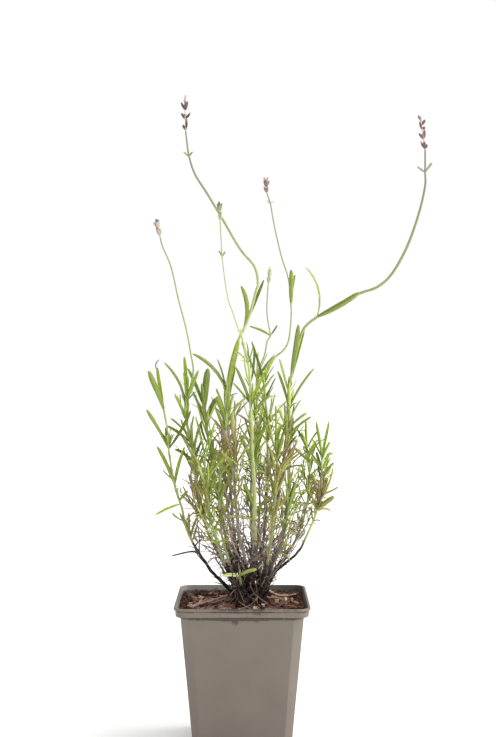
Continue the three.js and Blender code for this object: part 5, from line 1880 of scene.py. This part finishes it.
def grow_sprigs(shoots, thicket):
    """Side shoots that stand up from the lower axils, each with pairs of young leaves."""
    for shoot in shoots:
        rng = generator("sprigs", shoot.index)
        for _ in range(habit(SPRIGS, shoot)):
            seat = seat_at_height(shoot.wood[:-1] + shoot.stem, mix(134, 228, rng.random()))
            form = (rng.uniform(16, 40), math.radians(rng.normal(-20, 14)), 1.0, 0)
            tries = turned_tries(seat, rng.uniform(0, 360), rng.uniform(18, 42), *form)
            for sprig in thicket.place(shoot.index, kept_in(tries), 0.1):
                shoot.sprigs.append(sprig)
                roll = rng.uniform(0, 180)
                for k, place in enumerate(np.linspace(0.3, 2, 6)):
                    seat = seat_on(twig_stations(sprig), place)
                    for side in (0, 180):
                        length = rng.uniform(7, 15) * (1.1 - 0.09 * k)
                        form = loose_form(rng, length, (6, 42), (1.0, 2.0))
                        azimuth = roll + 90 * k + side + rng.normal(0, 12)
                        splay = mix(52, 16, k / 5) + rng.normal(0, 7)
                        tries = list(kept_in(turned_tries(seat, azimuth, splay, *form)))[:6]
                        shoot.sprig_leaves += thicket.place(shoot.index, tries, 0.03, 2)


def grow_tufts(shoots, thicket):
    """Small leaves crowded in the axils, each kept clear as the large ones are. The far left
    shoot's thick tuft and a dead leaf at the tip of one of its leaves are added without that.
    """
    for shoot in shoots:
        rng = generator("tufts", shoot.index)
        count, low, high, low_length, high_length = shoot.pairs
        for node, height in enumerate(np.linspace(low, high, count)):
            share = node / (count - 1)
            if rng.random() > habit(TUFTED, shoot):
                continue
            seat = seat_at_height(shoot.stem, height + rng.uniform(-0.5, 1.5))
            for k in range(6):
                length = mix(low_length, high_length, share) * rng.uniform(0.25, 0.6)
                splay = rng.uniform(10, 48)
                form = loose_form(rng, length, (8, 30), (0.8, 1.5))
                azimuth = shoot.roll + 60 * k + rng.normal(0, 20)
                tries = list(kept_in(turned_tries(seat, azimuth, splay, *form)))[:5]
                shoot.tufts += thicket.place(shoot.index, tries, 0.04, 2)
    # The far left shoot has one thick tuft under its middle pair
    shoot = shoots[0]
    rng = generator("first_tuft")
    for k in range(20):
        seat = seat_at_height(shoot.stem, 245 + rng.uniform(-1, 4))
        form = loose_form(rng, rng.uniform(7, 14), (0, 15), (1.4, 2.2))
        shoot.upright.append(leaf_by_splay(seat, 137.5 * k, 4 + 1.7 * k, *form))
    bearing = next(leaf for leaf in shoot.green if leaf.order == 7)
    bearer = Station(bearing.at(0.92), np.array((-1.0, 0, 0)), 1)
    dead = leaf_to_tip(bearer, bearer.point + (1.5, -1, 9), 1.9, 1.2, 0)
    dead.age = 1
    shoot.browned.append(dead)


def grow_withered(shoots, thicket):
    """Dry twigs, and the dead leaves that hang on along wood, twigs and the feet of the shoots."""
    for shoot in shoots:
        rng = generator("withered", shoot.index)
        for _ in range(habit(DRY_TWIGS, shoot)):
            seat = seat_on(shoot.wood, rng.uniform(0.5, 0.99) * (len(shoot.wood) - 1))
            form = (rng.uniform(24, 60), math.radians(rng.normal(-12, 16)), 1.1, 0)
            tries = turned_tries(seat, rng.uniform(0, 360), rng.uniform(8, 34), *form)
            shoot.dry_twigs += thicket.place(WOOD_BODY, kept_in(tries), 0.1)
        supports = [(shoot.wood, 1.0, 11), (shoot.stem, 0, 10 if shoot.points[-1][2] > 160 else 2)]
        supports += [(twig_stations(twig), 0.2, 9) for twig in shoot.twigs + shoot.dry_twigs]
        for stations, first, count in supports:
            last = min(len(stations) - 1.01, 3.2)
            for _ in range(count):
                seat = seat_on(stations, mix(first, last, rng.random()))
                if not 128 < seat.point[2] < 238:
                    continue
                form = loose_form(rng, rng.uniform(4, 15), (10, 85), (0.6, 1.5), 80)
                azimuth, splay = rng.uniform(0, 360), rng.uniform(15, 80)
                tries = list(kept_in(turned_tries(seat, azimuth, splay, *form)))[:4]
                shoot.withered += thicket.place(WOOD_BODY, tries, 0, 2)


def grow_browned(shoots):
    """The bundles of browned leaves."""
    rng = generator("browned")
    named = {shoot.name: shoot for shoot in shoots}
    for name, height, age, *tips in BROWNED:
        shoot = named[name]
        lowest = shoot.stem[0].point[2] + 0.5
        for tip in tips:
            seat = seat_at_height(shoot.stem, max(height + rng.uniform(-2, 4), lowest))
            leaf = leaf_to_tip(seat, np.array(tip, float), rng.normal(0.15, 0.3), rng.uniform(1.7, 2.7), 0)
            leaf.age = age + rng.normal(0, 0.08)
            shoot.browned.append(leaf)


def make_dry_leaves(settings, shoots):
    rng = generator("dry_leaves")
    dry, olive = Clump(), Clump()
    for leaf in (leaf for shoot in shoots for leaf in shoot.dry + shoot.withered):
        height = leaf.base[2]
        if rng.random() < (height - 140) / 90 * 0.75:
            leaf.age = float(rng.uniform(0.3, 0.85))
            clump, tone, most_fold = olive, rng.uniform(0, 0.6), 0.9
        else:
            if height < 150:
                leaf.width *= 0.5
            tone = rng.uniform(0.1, 0.7) + (height - 155) / (70 if height < 155 else 110)
            clump, tone, most_fold = dry, float(np.clip(tone, 0, 1)), 1.1
        leaf_blade(clump, leaf, tone, rng, small=True, thickness=0.2, fold=rng.uniform(0, most_fold))
    dry.piece("dry_leaves", "bark", downy_leaf("Dry lavender leaf", settings, dry=True))
    olive.piece("fading_leaves", "leaf", downy_leaf("Fading lavender leaf", settings))


def drawn_tone(rng, mean, swing):
    return float(np.clip(rng.normal(mean, swing), 0, 1))


def make_shoot(settings, shoot, leaf_material, stem_material):
    """The stem from the wood up, with its sprigs and all its leaves."""
    rng = generator("shoot", shoot.index)
    clump = Clump()
    last = len(shoot.points) - 1
    centres = route_points(shoot.points, shoot.split, last, 3.5)
    shares = np.linspace(0, 1, len(centres))
    slim = np.interp(shares, (0, 0.4, 0.8, 1), habit(STEM_SHAPES, shoot))
    usual_woody = float(np.interp(abs(centres[0][0] - 8), (14, 26, 46), (0.24, 0.212, 0.158)))
    woody = WOODY_TO.get(shoot.name, usual_woody)
    tone = STEM_TONES.get(shoot.name, rng.uniform(0.2, 0.6))
    radii = shoot.stem_radius(shares) * slim
    limb(clump, centres, radii, tone, sides=8, corner=0.12, kind=STEM_KIND, age=woody)
    brown_to = habit(BROWN_TO, shoot)
    for sprig in shoot.sprigs:
        shares = np.linspace(0, 1, 7)
        radii, tone = mix(0.62, 0.36, shares), rng.uniform(0.2, 0.6)
        limb(clump, sprig.at(shares), radii, tone, sides=6, kind=STEM_KIND, age=woody)
    for leaf in shoot.sprig_leaves:
        wither(leaf, brown_to - 100, brown_to - 30, rng)
        tone = drawn_tone(rng, 0.56, 0.3)
        leaf_blade(clump, leaf, tone, rng, small=True, thickness=0.24, fold=rng.uniform(0.1, 0.8))
    low, high = shoot.stem[0].point[2], shoot.stem[-1].point[2]
    thickness = settings.thickness / MM
    for leaf in shoot.green:
        share = (leaf.base[2] - low) / (min(high, 300) - low)
        if leaf.order >= 0:
            turn_to_front(leaf, rng)
            usual = (rng.normal(0.34, 0.2), 1, 1, abs(rng.normal(0, 0.04)))
            tone, bow, wider, age = MARKED.get(shoot.name, {}).get(leaf.order, usual)
            leaf.age = float(np.clip(age + 0.35 * rust(leaf), 0, 0.6))
            leaf.width *= wider
            if bow != 1:
                leaf.bow_more(bow)
        else:
            wither(leaf, brown_to - 80, brown_to, rng)
            leaf.width *= habit(SLENDER, shoot)
            tone = drawn_tone(rng, 0.44 + 0.06 * share, 0.32)
        if leaf.base[2] > 430 and shoot.name == "right_flowering":
            leaf.age = 1.0
        tone = float(np.clip(tone, 0, 1))
        leaf_blade(clump, leaf, tone, rng, thickness=thickness, fold=rng.uniform(0.1, 0.7))
    thinner = thickness * 0.8
    for leaf in shoot.browned:
        turn_to_front(leaf, rng)
        tone = rng.uniform(0.3, 0.8)
        leaf_blade(clump, leaf, tone, rng, thickness=thinner, fold=rng.uniform(0.1, 0.8))
    for leaf in shoot.upright:
        browned = 0.5 * max(0, (brown_to - leaf.base[2]) / 80)
        leaf.age = float(np.clip(rng.normal(0.02, 0.08) + 0.6 * rust(leaf) + browned, 0, 0.7))
        tone = drawn_tone(rng, 0.46, 0.28)
        leaf_blade(clump, leaf, tone, rng, thickness=thinner, fold=rng.uniform(0.1, 0.8))
    for leaf in shoot.tufts:
        wither(leaf, brown_to - 80, brown_to - 6, rng)
        leaf_blade(clump, leaf, drawn_tone(rng, 0.5, 0.22), rng, small=True, thickness=thinner)
    piece = clump.piece(f"shoot_{shoot.name}", "leaf", leaf_material, stem_material)
    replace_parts(piece, shoot.node)


# Flower heads


def calyx_shape(clump, foot, forward, out, length, rng, tone, *, kind, girth):
    """A ribbed calyx, narrow at its foot, fullest past its middle and drawn in at its mouth."""
    sides, shares = 10, np.array((0, 0.1, 0.28, 0.5, 0.68, 0.85, 0.96, 1))
    widths = np.array((0.25, 0.5, 0.8, 1, 0.98, 0.82, 0.6, 0.3)) * CALYX["radius"] * girth
    blank = tube(sides, len(shares))
    bend = rng.normal(0, 0.12)
    centres = foot + forward * (shares * length)[:, None] + out * (bend * length * shares**2)[:, None]
    along = unit(np.gradient(centres, axis=0))
    right, back = carried_frames(along, frame_of(forward)[0])
    angles = np.arange(sides) * 2 * np.pi / sides
    ridge = np.where(np.arange(sides) % 2 == 0, 1.0, 0.0)
    reach = widths[:, None] * (1 + 0.1 * (ridge - 0.5))[None] * rng.uniform(0.95, 1.03, sides)[None]
    section = np.stack([reach * np.cos(angles), reach * np.sin(angles)], axis=-1)
    grid = ring_grid(centres, right, back, section)
    form = np.column_stack([ridge[blank.side], shares[blank.ring], np.zeros(len(blank.ring))])
    clump.add(blank, grid[blank.ring, blank.side], form, tone, 0, kind, shares[blank.ring])
    return centres[-1]


# Colours of each head: calyx at its foot and its mouth, ribs, the bud in it, the bud on top and
# the bracts. Then the share of calyces with another one behind, and the girth and splay of the
# calyces as shares of the usual.
HEAD_LOOKS = dict(
    left_flowering=("#b0a592", "#b9ad9c", "#978c7e", "#74747c", "#5f616b", "#cbbda0", 1, 1.0, 0.75),
    tall_flowering=("#574a42", "#6b5a54", "#3f3430", "#a08c90", "#c8b2c0", "#cdb39f", 0.5, 0.95, 0.95),
    centre_flowering=("#b4ba86", "#8d9070", "#71754f", "#5d5f54", "#62645a", "#b9c08a", 0.8, 0.95, 0.5),
    small_flowering=("#adb194", "#bcc0a0", "#9da182", "#c6c9a8", "#c4c7a6", "#babe9e", 0.8, 1.0, 0.45),
    middle_flowering=("#9b8088", "#806a5f", "#5f4c48", "#d3c9b0", "#8f9082", "#d2bda4", 0.6, 0.95, 0.7),
    right_flowering=("#7d6964", "#6e5a55", "#4a3a38", "#c2a2a8", "#5f5a5a", "#d3b1a9", 0.5, 1.0, 0.95),
)


def make_head(settings, shoot, number):
    """The thin rachis with its calyces, buds and bracts."""
    rng = generator("head", number)
    low, high, rib, bud_color, top_color, bracts, doubled, usual_girth, opened = HEAD_LOOKS[shoot.name]
    clump = Clump()
    end = shoot.stem[-1]
    along = unit(np.array(shoot.head["tip"]) - end.point)
    start = end.point + end.along * 0.3
    calyces = shoot.head["calyces"]
    highest = max(height for height, *_ in calyces)
    rachis = start + along * np.linspace(-0.8, highest + 1, 9)[:, None]
    limb(clump, rachis, np.full(9, 0.5), 0.5, sides=6, kind=BRACT_KIND)
    extra = [
        (height + rng.uniform(-0.3, 0.6), azimuth + rng.choice((66, -66)), splay * 0.8, length * 0.8)
        for height, azimuth, splay, length in calyces
        if rng.random() < doubled * 0.6
    ]
    for height, azimuth, splay, length in [*calyces, *extra]:
        on_top = height >= highest - 0.5
        seat = Station(start + along * (height + 0.6), along, 0.7)
        spring = leaf_by_splay(seat, azimuth, splay * opened, length, 0, 0, 0)
        foot = spring.base + spring.out * CALYX["seat"]
        tone = float(np.clip(height / (highest + 1) + rng.normal(0, 0.25), 0, 1))
        girth = usual_girth * rng.uniform(0.9, 1.05)
        kind = TOP_KIND if on_top else CALYX_KIND
        heading = (spring.forward, spring.out)
        mouth = calyx_shape(clump, foot, *heading, length, rng, tone, kind=kind, girth=girth)
        if not on_top and rng.random() < 0.6:
            bud = length * rng.uniform(0.14, 0.24) + 0.4
            foot = mouth - spring.forward * 0.4
            girth *= 0.55
            calyx_shape(clump, foot, *heading, bud, rng, rng.random(), kind=BUD_KIND, girth=girth)
    for height in sorted({round(c[0]) for c in calyces}):
        for k in range(3):
            seat = Station(start + along * max(height - 0.3, 0), along, 0.7)
            form = (rng.uniform(2.2, 3.4), -0.5, rng.uniform(1.3, 2.0), rng.normal(0, 10))
            azimuth, splay = 120 * k + 45 + rng.normal(0, 12), rng.uniform(26, 40)
            bract = leaf_by_splay(seat, azimuth, splay, *form)
            leaf_blade(clump, bract, rng.random(), rng, small=True, thickness=0.16, kind=BRACT_KIND)
    title = shoot.name.removesuffix("_flowering")
    parts = (
        ("Downy calyx", low, high, rib),
        ("Closed bud", bud_color, bud_color, high),
        ("Papery bract", bracts, bracts, low),
        ("Top bud", top_color, top_color, bud_color),
    )
    materials = [downy_calyx(f"{part}, {title} head", settings, *colors) for part, *colors in parts]
    piece = clump.piece(f"flower_spike_{title}", "calyx", *materials)
    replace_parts(piece, f"flower_head_{number}")


# Stage


def make_stage(settings):
    """A plain pale floor, light from all round and from the right, and the camera: level, a
    metre before the plant."""
    scene = bpy.context.scene
    scene.view_settings.view_transform = "Standard"
    bm = bmesh.new()
    bmesh.ops.create_grid(bm, x_segments=4, y_segments=4, size=6)
    floor_mesh = bpy.data.meshes.new("floor")
    bm.to_mesh(floor_mesh)
    bm.free()
    floor = bpy.data.objects.new("floor", floor_mesh)
    scene.collection.objects.link(floor)
    matt = {"Roughness": 0.9, "Specular IOR Level": 0.1}
    material, node, shader = new_material("Matt paper floor", **matt)
    tooth = node("TexNoise", {"Vector": node("TexCoord", out="Object"), "Scale": 3, "Detail": 2})
    blend = {"Factor": tooth, "A": rgba(settings.floor), "B": rgba("#fbfbfa")}
    material.node_tree.links.new(node("Mix", blend, **BLEND), shader.inputs["Base Color"])
    floor_mesh.materials.append(material)

    world = bpy.data.worlds.new("studio")
    scene.world = world
    world.use_nodes = True
    world.node_tree.nodes.clear()
    sky = add_node(world.node_tree, "Background", {"Color": (1, 1, 1, 1), "Strength": settings.sky})
    add_node(world.node_tree, "OutputWorld", {"Surface": sky}, out=None)

    # Soft light from the right, so that the pot's right bevel is paler than its front
    sun = bpy.data.lights.new("side_light", "SUN")
    sun.energy = settings.side
    sun.angle = math.radians(70)
    lamp = bpy.data.objects.new("side_light", sun)
    lamp.rotation_euler = Vector((-1.0, 0.12, -0.55)).to_track_quat("-Z", "Y").to_euler()
    scene.collection.objects.link(lamp)

    lens = bpy.data.cameras.new("camera")
    lens.lens = 58.3
    lens.sensor_width = 36
    lens.clip_start = 0.01
    camera = bpy.data.objects.new("camera", lens)
    camera.location = (0.0047, -1.0, 0.311)
    camera.rotation_euler = (math.pi / 2, 0, 0)
    scene.collection.objects.link(camera)
    scene.camera = camera


# Operators and panel

PLAN = {}


def plan():
    """The shoots with all their leaves, worked out once."""
    if not PLAN:
        shoots, thicket = grow_plan()
        grow_upright(shoots, thicket)
        grow_sprigs(shoots, thicket)
        grow_tufts(shoots, thicket)
        grow_withered(shoots, thicket)
        grow_browned(shoots)
        PLAN["shoots"] = shoots
    return PLAN["shoots"]


class LAVENDER_OT_stage(bpy.types.Operator):
    """Sets up the floor, the lights and the camera"""

    bl_idname = "lavender.stage"
    bl_label = "Stage"

    def execute(self, context):
        make_stage(context.scene.lavender.stage)
        return {"FINISHED"}


class LAVENDER_OT_pot(bpy.types.Operator):
    """Models the nursery pot with its collar, feet and drain holes"""

    bl_idname = "lavender.pot"
    bl_label = "Pot"

    def execute(self, context):
        make_pot(context.scene.lavender.pot)
        return {"FINISHED"}


class LAVENDER_OT_soil(bpy.types.Operator):
    """Models the soil with its bark chips and crumbs"""

    bl_idname = "lavender.soil"
    bl_label = "Soil"

    def execute(self, context):
        settings = context.scene.lavender.soil
        make_soil(settings)
        make_chips(settings)
        return {"FINISHED"}


class LAVENDER_OT_wood(bpy.types.Operator):
    """Models the crown, the woody stems and the twigs with their bark"""

    bl_idname = "lavender.wood"
    bl_label = "Wood"

    def execute(self, context):
        make_wood(context.scene.lavender.wood, plan())
        return {"FINISHED"}


class LAVENDER_OT_roots(bpy.types.Operator):
    """Models the root fibres round the crown"""

    bl_idname = "lavender.roots"
    bl_label = "Roots"

    def execute(self, context):
        make_fibres(context.scene.lavender.wood, plan())
        return {"FINISHED"}


class LAVENDER_OT_dry_leaves(bpy.types.Operator):
    """Models the dry leaves on the wood"""

    bl_idname = "lavender.dry_leaves"
    bl_label = "Dry leaves"

    def execute(self, context):
        make_dry_leaves(context.scene.lavender.leaf, plan())
        return {"FINISHED"}


class LAVENDER_OT_shoots(bpy.types.Operator):
    """Models every green shoot with its leaves"""

    bl_idname = "lavender.shoots"
    bl_label = "Leafy shoots"

    def execute(self, context):
        settings = context.scene.lavender.leaf
        leaf_material = downy_leaf("Downy lavender leaf", settings)
        stem_material = green_stem(settings)
        for shoot in plan():
            make_shoot(settings, shoot, leaf_material, stem_material)
        return {"FINISHED"}


class LAVENDER_OT_heads(bpy.types.Operator):
    """Models the flower heads"""

    bl_idname = "lavender.heads"
    bl_label = "Flower heads"

    def execute(self, context):
        flowering = [shoot for shoot in plan() if shoot.head]
        for number, shoot in enumerate(flowering, 1):
            make_head(context.scene.lavender.head, shoot, number)
        return {"FINISHED"}


OPERATORS = (
    LAVENDER_OT_stage,
    LAVENDER_OT_pot,
    LAVENDER_OT_soil,
    LAVENDER_OT_wood,
    LAVENDER_OT_roots,
    LAVENDER_OT_dry_leaves,
    LAVENDER_OT_shoots,
    LAVENDER_OT_heads,
)


class LAVENDER_PT_build(bpy.types.Panel):
    bl_idname = "LAVENDER_PT_build"
    bl_label = "Potted Lavender"
    bl_space_type = "VIEW_3D"
    bl_region_type = "UI"
    bl_category = "Lavender"

    def draw(self, context):
        layout = self.layout
        for operator in OPERATORS:
            layout.operator(operator.bl_idname)
        for title in SETTINGS:
            group = getattr(context.scene.lavender, title)
            box = layout.box()
            box.label(text=title.capitalize())
            for key in group.bl_rna.properties.keys():
                if key not in {"rna_type", "name"}:
                    box.prop(group, key)


CLASSES = (*SETTINGS.values(), LavenderSettings, *OPERATORS, LAVENDER_PT_build)


def register():
    for cls in CLASSES:
        bpy.utils.register_class(cls)
    bpy.types.Scene.lavender = PointerProperty(type=LavenderSettings)


def unregister():
    del bpy.types.Scene.lavender
    for cls in reversed(CLASSES):
        bpy.utils.unregister_class(cls)


def main():
    register()
    bpy.ops.lavender.stage()
    bpy.ops.lavender.pot()
    bpy.ops.lavender.soil()
    bpy.ops.lavender.wood()
    bpy.ops.lavender.roots()
    bpy.ops.lavender.dry_leaves()
    bpy.ops.lavender.shoots()
    bpy.ops.lavender.heads()
    for mesh in [mesh for mesh in bpy.data.meshes if not mesh.users]:
        bpy.data.meshes.remove(mesh)


if __name__ == "__main__":
    main()
